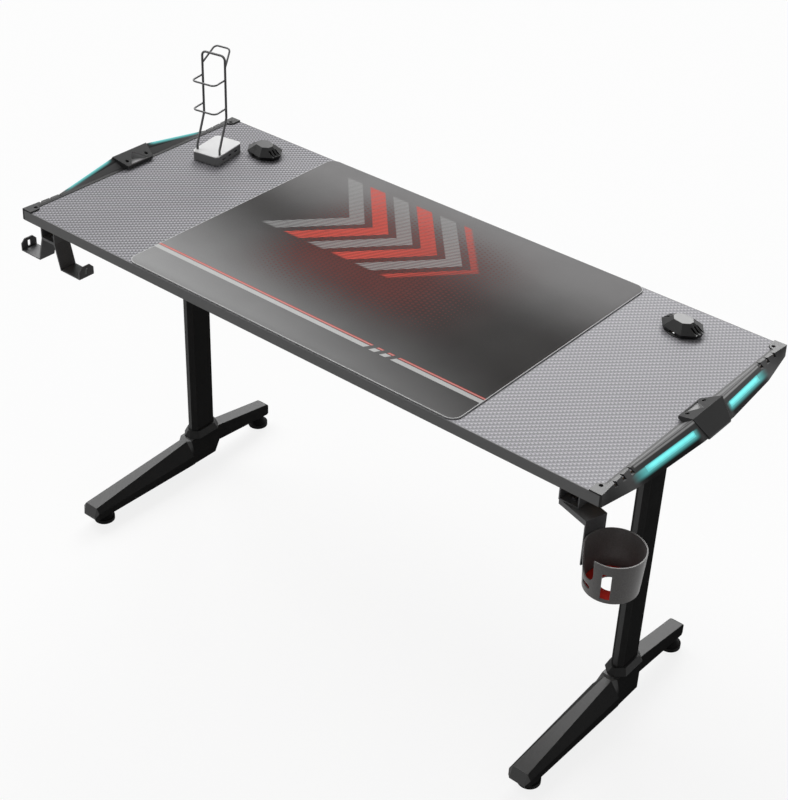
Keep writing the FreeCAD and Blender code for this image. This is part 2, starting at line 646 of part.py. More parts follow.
def make_leg(name, side):
    """One leg: foot, collar, column with its plug, head plate and the steel channel under the top."""
    x = LEG_X * side
    shift = lambda corners: [(x + a, z) for a, z in corners]
    foot = new_body(f"foot_{name}_casting")
    loft(foot, [sketch(foot, "XZ_Plane", -y, shift(corners)) for y, corners in foot_stations()])
    socket = octagon(x, S.column_y, S.column_width + 2 * S.socket_gap, S.column_depth + 2 * S.socket_gap,
                     S.column_cut)
    pad(foot, sketch(foot, "XY_Plane", S.bulge_height, socket), S.bulge_height - S.socket_floor, "Pocket")
    inner = list(foot_stations(S.foot_wall))
    front_end = between(inner[1], inner[2], S.glide_front_y + S.insert + S.foot_wall)
    rear_end = between(inner[5], inner[6], S.glide_rear_y - S.insert - S.foot_wall)
    for pair in ((front_end, inner[2]), (inner[5], rear_end)):
        loft(foot, [sketch(foot, "XZ_Plane", -y, shift(corners)) for y, corners in pair], "SubtractiveLoft")
    tools = []
    insert_top = S.foot_underside + S.insert_set + S.insert_height
    for y in (S.glide_front_y, S.glide_rear_y):
        tools.append(rod("insert_seat", x, y, (S.foot_underside - 1, insert_top), S.insert))
        tools.append(rod("stud_well", x, y, (S.foot_underside, S.stud_well), S.stud + 2))
    for end in (-1, 1):
        y = S.column_y + S.column_depth / 4 * end
        tools.append(rod("foot_bolt_hole", x, y, (S.foot_underside - 1, S.socket_floor + 1),
                         S.frame_bolt + 2 * S.fit))
        seat = S.foot_underside + S.frame_bolt_head_height + 2
        tools.append(rod("foot_bolt_sink", x, y, (S.foot_underside - 1, seat), S.frame_bolt_head + 2))
    keep(cut(f"foot_{name}", foot, *tools), f"foot_{name}")

    column = new_body(f"column_{name}")
    outer = octagon(x, S.column_y, S.column_width, S.column_depth, S.column_cut)
    hollow_width, hollow_depth = S.column_width - 2 * S.column_wall, S.column_depth - 2 * S.column_wall
    hollow = octagon(x, S.column_y, hollow_width, hollow_depth, S.column_cut - S.column_wall / 2)
    pad(column, sketch(column, "XY_Plane", S.socket_floor, outer, hollow), COLUMN_TOP - S.socket_floor)
    keep(column, column.Name)
    plug = new_body(f"plug_{name}")
    core = octagon(x, S.column_y, hollow_width - 2 * S.fit, hollow_depth - 2 * S.fit, S.column_cut)
    pad(plug, sketch(plug, "XY_Plane", S.socket_floor, core), S.plug_height)
    span = (S.socket_floor - 1, S.socket_floor + S.plug_height + 1)
    threads = [rod("plug_thread", x, S.column_y + S.column_depth / 4 * end, span, S.frame_bolt + 2 * S.fit)
               for end in (-1, 1)]
    keep(cut(f"column_plug_{name}", plug, *threads), f"column_plug_{name}")

    collar = new_body(f"foot_collar_{name}")
    rings = []
    for z, grow in ((S.bulge_height, S.collar_rim + S.collar_spread),
                    (S.bulge_height + S.collar_height, S.collar_rim)):
        ring = octagon(x, S.column_y, S.column_width + 2 * grow, S.column_depth + 2 * grow, S.collar_cut)
        rings.append(sketch(collar, "XY_Plane", z, ring))
    loft(collar, rings)
    pad(collar, sketch(collar, "XY_Plane", S.bulge_height, socket), S.collar_height + 1, "Pocket", back=True)
    keep(collar, collar.Name)

    half_x, half_y = S.head_plate_width / 2, S.head_plate_depth / 2
    plate = box(f"plate_{name}", (x - half_x, x + half_x), (S.column_y - half_y, S.column_y + half_y),
                (COLUMN_TOP, WEB_BOTTOM))
    bolts = [spot for spot in head_bolt_places() if spot[0].value * side > 0]
    bolt_drills = under_drills("head_drill", bolts, S.frame_bolt)
    keep(cut(f"head_plate_{name}", plate, *bolt_drills), f"head_plate_{name}")

    channel = new_body(f"channel_{name}")
    half, sheet_wall = S.bracket_width / 2, S.sheet_steel
    low = BOARD_BOTTOM - S.bracket_height
    section = [(-half, low), (-half, BOARD_BOTTOM), (half, BOARD_BOTTOM), (half, low),
               (half - sheet_wall, low), (half - sheet_wall, WEB_BOTTOM), (sheet_wall - half, WEB_BOTTOM),
               (sheet_wall - half, low)]
    profile = sketch(channel, "XZ_Plane", -BRACKET_REAR, shift(section))
    pad(channel, profile, BRACKET_REAR - BRACKET_FRONT)
    screws = [spot for spot in bracket_screw_places() if spot[0].value * side > 0]
    drills = under_drills("channel_drill", screws, S.screw) + bolt_drills
    drills += [rod("channel_cross_drill", across(side, LEG_X - half - 1, LEG_X), y, beam_height(),
                   S.frame_bolt + 2 * S.fit) for y in (S.beam_front_y, S.beam_rear_y)]
    keep(cut(f"top_bracket_{name}", channel, *drills), f"top_bracket_{name}")


def beam_height():
    return BOARD_BOTTOM - S.beam_size / 2


def make_under_frame():
    """Two cross beams between the channels, with their bolts, and the bolts of the feet."""
    reach = LEG_X - S.bracket_width / 2
    bolts = []
    for end, y in (("front", S.beam_front_y), ("rear", S.beam_rear_y)):
        half, wall, low = S.beam_size / 2, S.beam_wall, BOARD_BOTTOM - S.beam_size
        tube = box(f"beam_{end}", (-reach, reach), (y - half, y + half), (low, BOARD_BOTTOM))
        hollow = box("beam_hollow", (S.beam_end - reach, reach - S.beam_end),
                     (y - half + wall, y + half - wall), (low + wall, BOARD_BOTTOM - wall))
        threads = [rod("beam_thread", across(side, reach - S.beam_end - 1, reach + 1), y, beam_height(),
                       S.frame_bolt + 2 * S.fit) for side in (-1, 1)]
        keep(cut(f"cross_beam_{end}", tube, hollow, *threads), f"cross_beam_{end}")
        for side in (-1, 1):
            seat = reach + S.sheet_steel
            shank = rod("beam_bolt_shank", across(side, reach - S.beam_end, seat), y, beam_height(),
                        S.frame_bolt)
            head = rod("beam_bolt_head", across(side, seat, seat + S.frame_bolt_head_height), y,
                       beam_height(), S.frame_bolt_head)
            bolts.append(fuse("beam_bolt", shank, head))
    keep(group("beam_bolts", bolts), "beam_bolts")
    bolts = []
    for side in (-1, 1):
        for end in (-1, 1):
            x, y = LEG_X * side, S.column_y + S.column_depth / 4 * end
            seat = S.foot_underside + S.frame_bolt_head_height + 2
            head = rod("foot_bolt_head", x, y, (seat - S.frame_bolt_head_height, seat), S.frame_bolt_head)
            shank = rod("foot_bolt_shank", x, y, (seat, S.socket_floor + S.plug_height - 2), S.frame_bolt)
            bolts.append(fuse("foot_bolt", head, shank))
    keep(group("foot_bolts", bolts), "foot_bolts")


def make_glides():
    """Levelling glides: a pad on a threaded stud, in a threaded insert of the foot."""
    inserts = []
    for name, side in SIDES:
        for end, y in (("front", S.glide_front_y), ("rear", S.glide_rear_y)):
            x = LEG_X * side
            disc = rod("glide_disc", x, y, (0, S.glide_pad_height), S.glide_pad)
            hub = cone("glide_neck", x, y, (S.glide_pad_height, S.glide_neck), S.glide_pad - 6, S.glide_hub)
            stud = rod("glide_stud", x, y, (S.glide_neck, S.stud_top), S.stud)
            keep(fuse(f"glide_{end}_{name}", disc, hub, stud), f"glide_{end}_{name}")
            low = S.foot_underside + S.insert_set
            sleeve = rod("insert_body", x, y, (low, low + S.insert_height), S.insert - S.fit)
            bore = rod("insert_thread", x, y, (low - 1, low + S.insert_height + 1), S.stud + 2 * S.stud_gap)
            inserts.append(cut("glide_insert", sleeve, bore))
    keep(group("glide_inserts", inserts), "glide_inserts")


def make_holder_bracket(name, x):
    """U bracket of an accessory, screwed under the top, with the bolt and nut that the accessory turns on."""
    bracket = new_body(f"{name}_channel")
    half, wall, flange = S.holder_width / 2, S.sheet_steel, S.holder_flange
    right = [(half, HOLDER_BOTTOM), (half, BOARD_BOTTOM), (half - wall - flange, BOARD_BOTTOM),
             (half - wall - flange, WEB_BOTTOM), (half - wall, WEB_BOTTOM),
             (half - wall, HOLDER_BOTTOM + wall)]
    section = right + [(-a, z) for a, z in right[::-1]]
    rear = HOLDER_FRONT + S.holder_depth
    pad(bracket, sketch(bracket, "XZ_Plane", -rear, [(x + a, z) for a, z in section]), S.holder_depth)
    screws = [spot for spot in holder_screw_places() if spot[0].value * x.value > 0]
    hole = rod("swivel_hole", x, HOLDER_Y, (HOLDER_BOTTOM - 1, HOLDER_BOTTOM + wall + 1),
               S.swivel_bolt + 2 * S.swivel_fit)
    drills = [rod("holder_drill", a, b, (WEB_BOTTOM - 1, BOARD_BOTTOM + 1), S.screw + 2 * S.fit)
              for a, b, seat in screws]
    keep(cut(f"{name}_bracket", bracket, hole, *drills), f"{name}_bracket")

    seat = HOLDER_BOTTOM + wall
    nut_top = SWIVEL_TOP - wall - S.swivel_gap
    nut_low = nut_top - S.swivel_nut_height
    head = rod("swivel_head", x, HOLDER_Y, (seat, seat + S.swivel_head_height), S.swivel_head)
    shank = rod("swivel_shank", x, HOLDER_Y, (nut_low - 1, seat), S.swivel_bolt)
    ring = rod("swivel_nut_body", x, HOLDER_Y, (nut_low, nut_top), S.swivel_head)
    thread = rod("swivel_nut_thread", x, HOLDER_Y, (nut_low - 1, nut_top + 1),
                 S.swivel_bolt + 2 * S.swivel_fit)
    bolt = fuse("swivel_bolt", head, shank)
    keep(group(f"{name}_bolt", [bolt, cut("swivel_nut", ring, thread)]), f"{name}_bolt")


def swivel_hole(name):
    """Hole on the Z axis through a strip that turns on its bolt."""
    return rod(name, 0, 0, (SWIVEL_TOP - S.sheet_steel - 1, SWIVEL_TOP + 1), S.swivel_bolt + 2 * S.swivel_fit)


def make_hook():
    """Double headset hook: a bent strip with a shelf and an upturned tip on each side."""
    strip = new_body("hook_strip")
    wall, half = S.sheet_steel, S.holder_width / 2
    shelf = SWIVEL_TOP - S.hook_fall
    foot, end = half + S.hook_slant, half + S.hook_slant + S.hook_shelf
    right = [(half, SWIVEL_TOP), (foot, shelf), (end - wall, shelf), (end - wall, shelf + S.hook_tip),
             (end, shelf + S.hook_tip), (end, shelf - wall), (foot - wall, shelf - wall),
             (half - wall, SWIVEL_TOP - wall)]
    left = [(-x, z) for x, z in right[::-1]]
    pad(strip, sketch(strip, "XZ_Plane", -(S.holder_depth / 2), right + left), S.holder_depth)
    side_edge, top = S.holder_depth / 2, shelf + S.hook_tip
    corners = [[(side_edge * sign, top), (side_edge * sign, top - S.hook_corner),
                ((side_edge - S.hook_corner) * sign, top)] for sign in (-1, 1)]
    for plane in (end + 1, wall - end + 1):
        pad(strip, sketch(strip, "YZ_Plane", plane, *corners), wall + 2, "Pocket")
    middle, long = top - S.hook_slot_length, S.hook_slot_length / 2
    slots = [box("tip_slot", across(side, end - wall - 1, end + 1),
                 (-S.hook_slot_width / 2, S.hook_slot_width / 2), (middle - long, middle + long))
             for side in (-1, 1)]
    hook = cut("headset_hook", strip, swivel_hole("hook_hole"), *slots)
    place(hook, HOOK_X, HOLDER_Y)
    keep(hook, "headset_hook")


def turn_cup(piece, reach, turn):
    """Place a piece of the cup holder, made about its own axis, on the arm that turns on the bolt."""
    piece.Placement = Placement(Vector(), Rotation(Vector(0, 0, 1), turn.value))
    tie(piece, "Placement.Rotation.Angle", turn)
    return place(piece, CUP_X + reach * cosine(S.cup_turn), HOLDER_Y + reach * sine(S.cup_turn))


def make_cup_holder():
    """Cup holder: a bent arm, a tapered cup open for a mug's handle, and a pad on its floor."""
    wall, half = S.sheet_steel, S.cup_arm_width / 2
    arm = new_body("cup_arm_strip")
    back = SWIVEL_TOP - S.cup_plate_drop
    reach = S.cup_reach
    section = [(-S.cup_tail, SWIVEL_TOP - wall), (-S.cup_tail, SWIVEL_TOP), (reach, SWIVEL_TOP),
               (reach, back), (reach - wall, back), (reach - wall, SWIVEL_TOP - wall)]
    pad(arm, sketch(arm, "XZ_Plane", -half, section), S.cup_arm_width)
    flange = box("arm_flange", (-S.cup_tail, reach - wall), (-half, wall - half),
                 (SWIVEL_TOP - S.cup_flange, SWIVEL_TOP - wall))
    bent = cut("cup_arm", fuse("arm_with_flange", arm, flange), swivel_hole("arm_hole"))
    turn_cup(keep(bent, "cup_arm"), size(0), S.cup_turn)

    rim = SWIVEL_TOP - S.cup_rim_drop
    floor = rim - S.cup_height
    skin = 2 * S.cup_wall
    shell = cut("cup_shell", cone("cup_outside", 0, 0, (floor, rim), S.cup_base, S.cup_rim),
                cone("cup_inside", 0, 0, (floor + S.cup_wall, rim), S.cup_base - skin, S.cup_rim - skin),
                rod("cup_floor_hole", 0, 0, (floor - 1, floor + S.cup_wall + 1), S.cup_hole))
    outward = (-S.cup_rim, -(S.cup_hole / 2))
    sill = floor + S.handle_sill + S.handle_width / 2
    gap = S.handle_width / 2
    slot = fuse("handle_slot", box("handle_gap", outward, (-gap, gap), (sill, rim + 1)),
                rod("handle_gap_end", outward, 0, sill, S.handle_width))
    ends = S.strap_slot_width / 2 - S.strap_slot_height / 2
    level = floor + S.strap_slot_lift + S.strap_slot_height / 2
    tall = S.strap_slot_height / 2
    opening = fuse("strap_slot", box("strap_gap", outward, (-ends, ends), (level - tall, level + tall)),
                   rod("strap_gap_left", outward, -ends, level, S.strap_slot_height),
                   rod("strap_gap_right", outward, ends, level, S.strap_slot_height))
    window = box("cup_window", (-S.cup_rim, 0), (-(S.window_width / 2), S.window_width / 2),
                 (floor + S.window_lift, floor + S.window_lift + S.window_height))
    window.Placement = Placement(Vector(), Rotation(Vector(0, 0, 1), S.window_turn.value))
    tie(window, "Placement.Rotation.Angle", S.window_turn)
    half_width = S.window_width / 2
    corner_x = -S.cup_rim * cosine(S.window_turn) + half_width * sine(S.window_turn)
    corner_y = -S.cup_rim * sine(S.window_turn) - half_width * cosine(S.window_turn)
    place(window, corner_x, corner_y, floor + S.window_lift)
    ring = cut("cup_ring", shell, slot, opening, window)
    centre = S.cup_reach + S.cup_seat + S.cup_rim / 2
    turn_cup(keep(ring, "cup_ring"), centre, S.cup_handle_turn)

    pad_top = floor + S.cup_wall + S.cup_pad_thickness
    disc = rod("cup_pad_disc", 0, 0, (floor + S.cup_wall, pad_top), S.cup_base - skin - 1)
    pad_hole = rod("cup_pad_hole", 0, 0, (floor, pad_top + 1), S.cup_hole)
    turn_cup(keep(cut("cup_pad", disc, pad_hole), "cup_pad"), centre, S.cup_turn)


def make_light_control():
    """Light control box under the top, with its button and power inlet."""
    half_x, half_y = S.control_length / 2, S.control_width / 2
    x, y = CONTROL_X, CONTROL_Y
    low = BOARD_BOTTOM - S.control_height
    case = box("control_case", (x - half_x, x + half_x), (y - half_y, y + half_y), (low, BOARD_BOTTOM))
    front = y - half_y
    depth = S.button_travel + S.button_rise
    middle = low + S.control_height / 2
    well = rod("button_well", x, (front - 1, front + 2 * depth), middle, S.button + 2 * S.button_gap)
    jack = rod("inlet_seat", x, (y + half_y - depth, y + half_y + 1), middle, S.inlet + S.fit)
    screws = list(control_screw_places())
    bores = [rod("control_screw_hole", a, b, (low - 1, BOARD_BOTTOM + 1), S.screw + 2 * S.fit)
             for a, b, seat in screws]
    sinks = [rod("control_screw_sink", a, b, (low - 1, seat), S.screw_head + 2 * S.fit)
             for a, b, seat in screws]
    keep(cut("light_control_box", case, well, jack, *bores, *sinks), "light_control_box")
    key_end = front + 2 * depth - S.button_travel - S.button_gap
    key = rod("light_button", x, (front - S.button_rise, key_end), middle, S.button)
    keep(key, "light_button")
    tube = rod("inlet_tube", x, (y + half_y - depth, y + half_y + S.inlet_out), middle, S.inlet)
    bore = rod("inlet_bore", x, (y + half_y - depth + 1, y + half_y + S.inlet_out + 1), middle, S.inlet_bore)
    keep(cut("power_inlet", tube, bore), "power_inlet")


def bent_wire(points, diameter, bend):
    """A round wire through points, with an arc at each bend."""
    edges = []
    start = points[0]
    for before, corner, after in zip(points, points[1:], points[2:]):
        into = (corner - before).normalize()
        out = (after - corner).normalize()
        turn = into.getAngle(out)
        run = bend * math.tan(turn / 2)
        first, last = corner - into * run, corner + out * run
        inward = (out - into).normalize()
        middle = corner + inward * (bend / math.cos(turn / 2) - bend)
        edges += [Part.LineSegment(start, first).toShape(), Part.Arc(first, middle, last).toShape()]
        start = last
    edges.append(Part.LineSegment(start, points[-1]).toShape())
    direction = points[1] - points[0]
    profile = Part.Wire(Part.Circle(points[0], direction, diameter / 2).toShape())
    return Part.Wire(edges).makePipeShell([profile], True, False)


def turn_stand(piece):
    """Place a piece of the controller stand, made about its own axis, on the top."""
    piece.Placement = Placement(Vector(), Rotation(Vector(0, 0, 1), S.stand_turn.value))
    tie(piece, "Placement.Rotation.Angle", S.stand_turn)
    return place(piece, STAND_X, STAND_Y)


def make_stand():
    """Controller stand: hub base with ports and feet, a plate on it and a bent wire rack."""
    half_x, half_y = S.stand_width / 2, S.stand_length / 2
    low = S.desk_height + S.stand_foot_height
    top = low + S.stand_height
    base = new_body("stand_case")
    outline = octagon(size(0), size(0), S.stand_width, S.stand_length, S.stand_corner)
    pad(base, sketch(base, "XY_Plane", low, outline), S.stand_height)
    middle = low + S.stand_height / 2
    mouths, ports = [], []
    for step in (-1, 0, 1):
        port_y = S.port_pitch * step
        span = (port_y - S.port_length / 2, port_y + S.port_length / 2)
        height = (middle - S.port_height / 2, middle + S.port_height / 2)
        mouths.append(box("port_mouth", (half_x - S.port_depth, half_x + 1), span, height))
        rim = S.sheet_steel / 2
        inside = box("port_inside", (half_x - S.port_depth + rim, half_x + 1), (span[0] + rim, span[1] - rim),
                     (height[0] + rim, height[1] - rim))
        shell = box("port_shell", (half_x - S.port_depth, half_x), span, height)
        ports.append(cut("usb_port", shell, inside))
    turn_stand(keep(cut("stand_base", base, *mouths), "stand_base"))
    turn_stand(keep(group("stand_ports", ports), "stand_ports"))
    plate = new_body("stand_top")
    pad(plate, sketch(plate, "XY_Plane", top, outline), S.stand_plate_thickness)
    through = (top - 1, top + S.stand_plate_thickness + 1)
    holes = [rod("rack_hole", S.rack_width / 2 * step, S.rack_inset - half_y, through,
                 S.wire + 4 * S.cap_fit) for step in (-1, 1)]
    turn_stand(keep(cut("stand_plate", plate, *holes), "stand_plate"))
    feet = []
    for sx in (-1, 1):
        for sy in (-1, 1):
            spot = ((half_x - S.stand_foot) * sx, (half_y - S.stand_foot) * sy)
            feet.append(rod("stand_foot_disc", *spot, (S.desk_height, low), S.stand_foot))
    turn_stand(keep(group("stand_feet", feet), "stand_feet"))

    foot_z, deck = top.value, (top + S.stand_plate_thickness).value
    root_y = (S.rack_inset - half_y).value
    knee_y = root_y + S.rack_lean.value
    half = S.rack_width.value / 2
    wire, bend = S.wire.value, S.wire_bend.value
    crown = deck + S.rack_height.value
    left = [Vector(-half, root_y, foot_z), Vector(-half, root_y, deck + 2 * wire),
            Vector(-half, knee_y, deck + S.rack_knee.value), Vector(-half, knee_y, crown)]
    shape = bent_wire(left + mirrored(left), wire, bend)
    loop = [Vector(-half, knee_y, crown - S.loop_drop.value),
            Vector(-S.loop_width.value / 2, knee_y + S.loop_back.value, crown + S.loop_rise.value)]
    loops = [loop + mirrored(loop)]
    for height in (S.cradle_low.value, S.cradle_high.value):
        arm = [Vector(-half, knee_y, deck + height),
               Vector(-half, knee_y - S.cradle_out.value, deck + height)]
        loops.append(arm + mirrored(arm))
    rack = doc.addObject("Part::Feature", "stand_rack")
    rack.Shape = shape.multiFuse([bent_wire(points, S.loop_wire.value, bend) for points in loops])
    turn_stand(keep(rack, "stand_rack"))


def mirrored(points):
    """The same points on the other side of the middle, in the opposite order."""
    return [Vector(-point.x, point.y, point.z) for point in points[::-1]]


make_top()
for side_name, side_sign in SIDES:
    make_trim(side_name, side_sign)
    make_leg(side_name, side_sign)
make_grommet("left", GROMMET_LEFT)
make_grommet("right", GROMMET_RIGHT)
make_screws()
make_under_frame()
make_glides()
make_holder_bracket("hook", HOOK_X)
make_holder_bracket("cup", CUP_X)
make_hook()
make_cup_holder()
make_light_control()
make_stand()
doc.recompute()

for thing in doc.Objects:
    if "Invalid" in thing.State or "Error" in thing.State:
        raise RuntimeError(f"{thing.Name} failed: {thing.State}")
for piece in pieces:
    if piece.Shape.isNull() or not piece.Shape.isValid() or not piece.Shape.Solids:
        raise RuntimeError(f"{piece.Label} has no valid solid")
os.makedirs("parts", exist_ok=True)
for piece in pieces:
    piece.Shape.exportStep(f"parts/{piece.Label}.step")
print(len(pieces), "pieces,", sum(len(piece.Shape.Solids) for piece in pieces), "solids")
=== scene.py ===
"""Looks of a gaming desk: woven print, printed mat, lit end trims, powder-coated frame and accessories."""

import math

import bmesh
import bpy
from bpy.props import FloatProperty, FloatVectorProperty, PointerProperty
from bpy.types import Operator, Panel, PropertyGroup
from mathutils import Matrix, Vector


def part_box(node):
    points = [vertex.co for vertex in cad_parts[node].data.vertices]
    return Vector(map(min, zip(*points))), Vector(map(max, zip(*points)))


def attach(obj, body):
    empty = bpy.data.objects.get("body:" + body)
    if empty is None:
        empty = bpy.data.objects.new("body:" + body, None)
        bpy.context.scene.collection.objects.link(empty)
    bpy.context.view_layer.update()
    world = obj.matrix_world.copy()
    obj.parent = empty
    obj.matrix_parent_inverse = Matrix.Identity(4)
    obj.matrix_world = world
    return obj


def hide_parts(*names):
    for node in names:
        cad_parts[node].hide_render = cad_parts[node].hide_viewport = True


bl_info = {
    "name": "Gaming desk",
    "version": (1, 0, 0),
    "blender": (4, 5, 0),
    "location": "3D View > Sidebar > Desk",
    "description": "Finishes and soft pieces of a gaming desk around its CAD frame",
    "category": "Object",
}

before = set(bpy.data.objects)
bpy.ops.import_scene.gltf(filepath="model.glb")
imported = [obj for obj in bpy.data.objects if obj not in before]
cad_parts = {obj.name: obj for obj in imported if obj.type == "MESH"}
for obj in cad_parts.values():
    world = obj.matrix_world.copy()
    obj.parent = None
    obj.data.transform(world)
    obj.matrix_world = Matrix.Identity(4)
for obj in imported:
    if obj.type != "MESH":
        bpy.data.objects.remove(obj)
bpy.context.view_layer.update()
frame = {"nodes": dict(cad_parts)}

SIDES = ("left", "right")
TURN = 2 * math.pi


def shade(red, green, blue):
    """A colour given as it looks on a screen, 0 to 255, as linear light."""
    channels = [value / 255 for value in (red, green, blue)]
    return tuple(c / 12.92 if c <= 0.04045 else ((c + 0.055) / 1.055) ** 2.4 for c in channels)


def colour(name, description, *screen):
    """A colour that a user may change, given as it looks on a screen."""
    return FloatVectorProperty(name=name, description=description, default=shade(*screen), subtype="COLOR",
                               size=3, min=0, max=1)


def length(name, description, default):
    """A length that a user may change, in metres."""
    return FloatProperty(name=name, description=description, default=default, unit="LENGTH", min=0,
                         precision=4)


def share(name, description, default):
    """A share from 0 to 1 that a user may change."""
    return FloatProperty(name=name, description=description, default=default, subtype="FACTOR", min=0, max=1)


class TopSettings(PropertyGroup):
    """Printed top and its edge bands."""

    thread: length("Thread", "Width of one thread of the printed weave", 0.0047)
    light: colour("Light thread", "Threads that lie on top", 206, 205, 210)
    dark: colour("Dark thread", "Threads that pass under", 102, 101, 105)
    band: colour("Edge band", "Bands on the long edges", 114, 114, 114)


class MatSettings(PropertyGroup):
    """Printed mat over the middle of the top."""

    ground: colour("Ground", "Darkest tone, in the middle", 44, 42, 41)
    front: colour("Front tone", "Tone that the print fades to at the front left", 172, 172, 172)
    rear: colour("Rear tone", "Tone that the print fades to at the back", 130, 129, 129)
    red: colour("Red print", "Chevrons and the thin line", 226, 82, 66)
    grey: colour("Grey print", "Chevrons and the wide line", 168, 168, 167)
    stitch: colour("Edge stitch", "Overlocked edge", 222, 222, 222)
    line_inset: length("Line inset", "From the front edge to the printed lines", 0.072)
    line_grey: length("Wide line", "Width of the grey line", 0.0105)
    line_red: length("Thin line", "Width of the red line", 0.0048)


class LightSettings(PropertyGroup):
    """Lit strips in the end trims."""

    colour: colour("Light", "Colour of the lit strips", 128, 250, 249)
    deep: colour("Dim light", "Colour where a strip fades", 89, 175, 177)
    strength: share("Strength", "Light of a strip", 1.0)
    # Spill and rim: painted glow on the trim plastic around the strips and along the left crest.
    painted_spill: share("Spill", "Glow on the trim around a strip", 0.45)
    rim: share("Rim", "Glow along the crest of the left trim", 0.6)


class CoatSettings(PropertyGroup):
    """Plastics and powder coats."""

    trim: colour("Trims", "Moulded end trims", 54, 54, 54)
    frame: colour("Frame", "Columns, feet and under frame", 47, 47, 47)
    accessory: colour("Brackets", "Hook, brackets and arm", 84, 84, 85)
    cup: colour("Cup holder", "Cup of the cup holder", 102, 100, 99)
    cup_pad: colour("Cup pad", "Pad on the floor of the cup", 176, 42, 34)
    gloss: colour("Grommets", "Glossy caps and sleeves", 26, 26, 26)
    # Tops of the caps: painted reflection, lighter on the right cap than the left.
    painted_facet_left: colour("Left cap's top", "Top facet of the left cap", 78, 78, 78)
    painted_facet_right: colour("Right cap's top", "Top facet of the right cap", 128, 128, 128)
    plate: colour("Stand plate", "Top of the controller stand", 222, 222, 222)


class StageSettings(PropertyGroup):
    """Camera, lights and floor."""

    lens: FloatProperty(name="Lens", description="Focal length on a 36 mm sensor", default=74.15,
                        unit="CAMERA")
    place: FloatVectorProperty(name="Camera", description="Where the camera stands", subtype="TRANSLATION",
                               default=(1.7234, -2.1225, 2.3503))
    key: FloatProperty(name="Key", description="Soft light from the left", default=1.6, min=0)
    sheen: FloatProperty(name="Sheen", description="Light from behind", default=1.4, min=0)
    sky: FloatProperty(name="Sky", description="Even light from all round", default=0.25, min=0)


class Field:
    """A value, colour or vector that varies over a surface; operators add Math nodes to its material."""

    def __init__(self, finish, socket):
        self.finish = finish
        self.socket = socket

    def math(self, operation, *others, clamp=False):
        return self.finish.node("ShaderNodeMath", {"operation": operation, "use_clamp": clamp},
                                dict(enumerate((self, *others))))

    def __add__(self, other):
        return self.math("ADD", other)

    def __sub__(self, other):
        return self.math("SUBTRACT", other)

    def __rsub__(self, other):
        return self.math("MULTIPLY_ADD", -1.0, other)

    def __mul__(self, other):
        return self.math("MULTIPLY", other)

    def __truediv__(self, other):
        return self.math("DIVIDE", other)

    def __mod__(self, other):
        return self.math("FLOORED_MODULO", other)

    def __pow__(self, other):
        return self.math("POWER", other)

    def __abs__(self):
        return self.math("ABSOLUTE")

    def __lt__(self, other):
        return self.math("LESS_THAN", other)

    def __gt__(self, other):
        return self.math("GREATER_THAN", other)

    __radd__ = __add__
    __rmul__ = __mul__

    def floor(self):
        return self.math("FLOOR")

    def sine(self):
        return self.math("SINE")

    def most(self, other):
        return self.math("MAXIMUM", other)

    def clamp(self):
        return self.math("ADD", 0.0, clamp=True)

    def smooth(self, low, high):
        """0 up to low, 1 from high on, with a soft step between; high may be the lower one."""
        flip = high < low
        inputs = {"Value": self, "From Min": min(low, high), "From Max": max(low, high)}
        step = self.finish.node("ShaderNodeMapRange", {"interpolation_type": "SMOOTHSTEP"}, inputs)
        return 1 - step if flip else step


class Shading:
    """A node tree in the making."""

    def __init__(self, owner):
        owner.use_nodes = True
        self.tree = owner.node_tree

    def feed(self, socket, value):
        if isinstance(value, Field):
            self.tree.links.new(value.socket, socket)
        elif socket.type == "RGBA" and len(value) == 3:
            socket.default_value = (*value, 1)
        else:
            socket.default_value = value

    def node(self, kind, settings=None, inputs=None, output=0):
        """Add a node: its settings first, then the values or links of its sockets; gives one output."""
        made = self.tree.nodes.new(kind)
        for key, setting in (settings or {}).items():
            setattr(made, key, setting)
        for key, value in (inputs or {}).items():
            self.feed(made.inputs[key], value)
        return Field(self, made.outputs[output]) if made.outputs else made

    def seen(self):
        """1 for rays that show the background, straight or by reflection."""
        rays = [self.node("ShaderNodeLightPath", output=f"Is {kind} Ray")
                for kind in ("Camera", "Glossy", "Transmission")]
        return rays[0].most(rays[1]).most(rays[2])


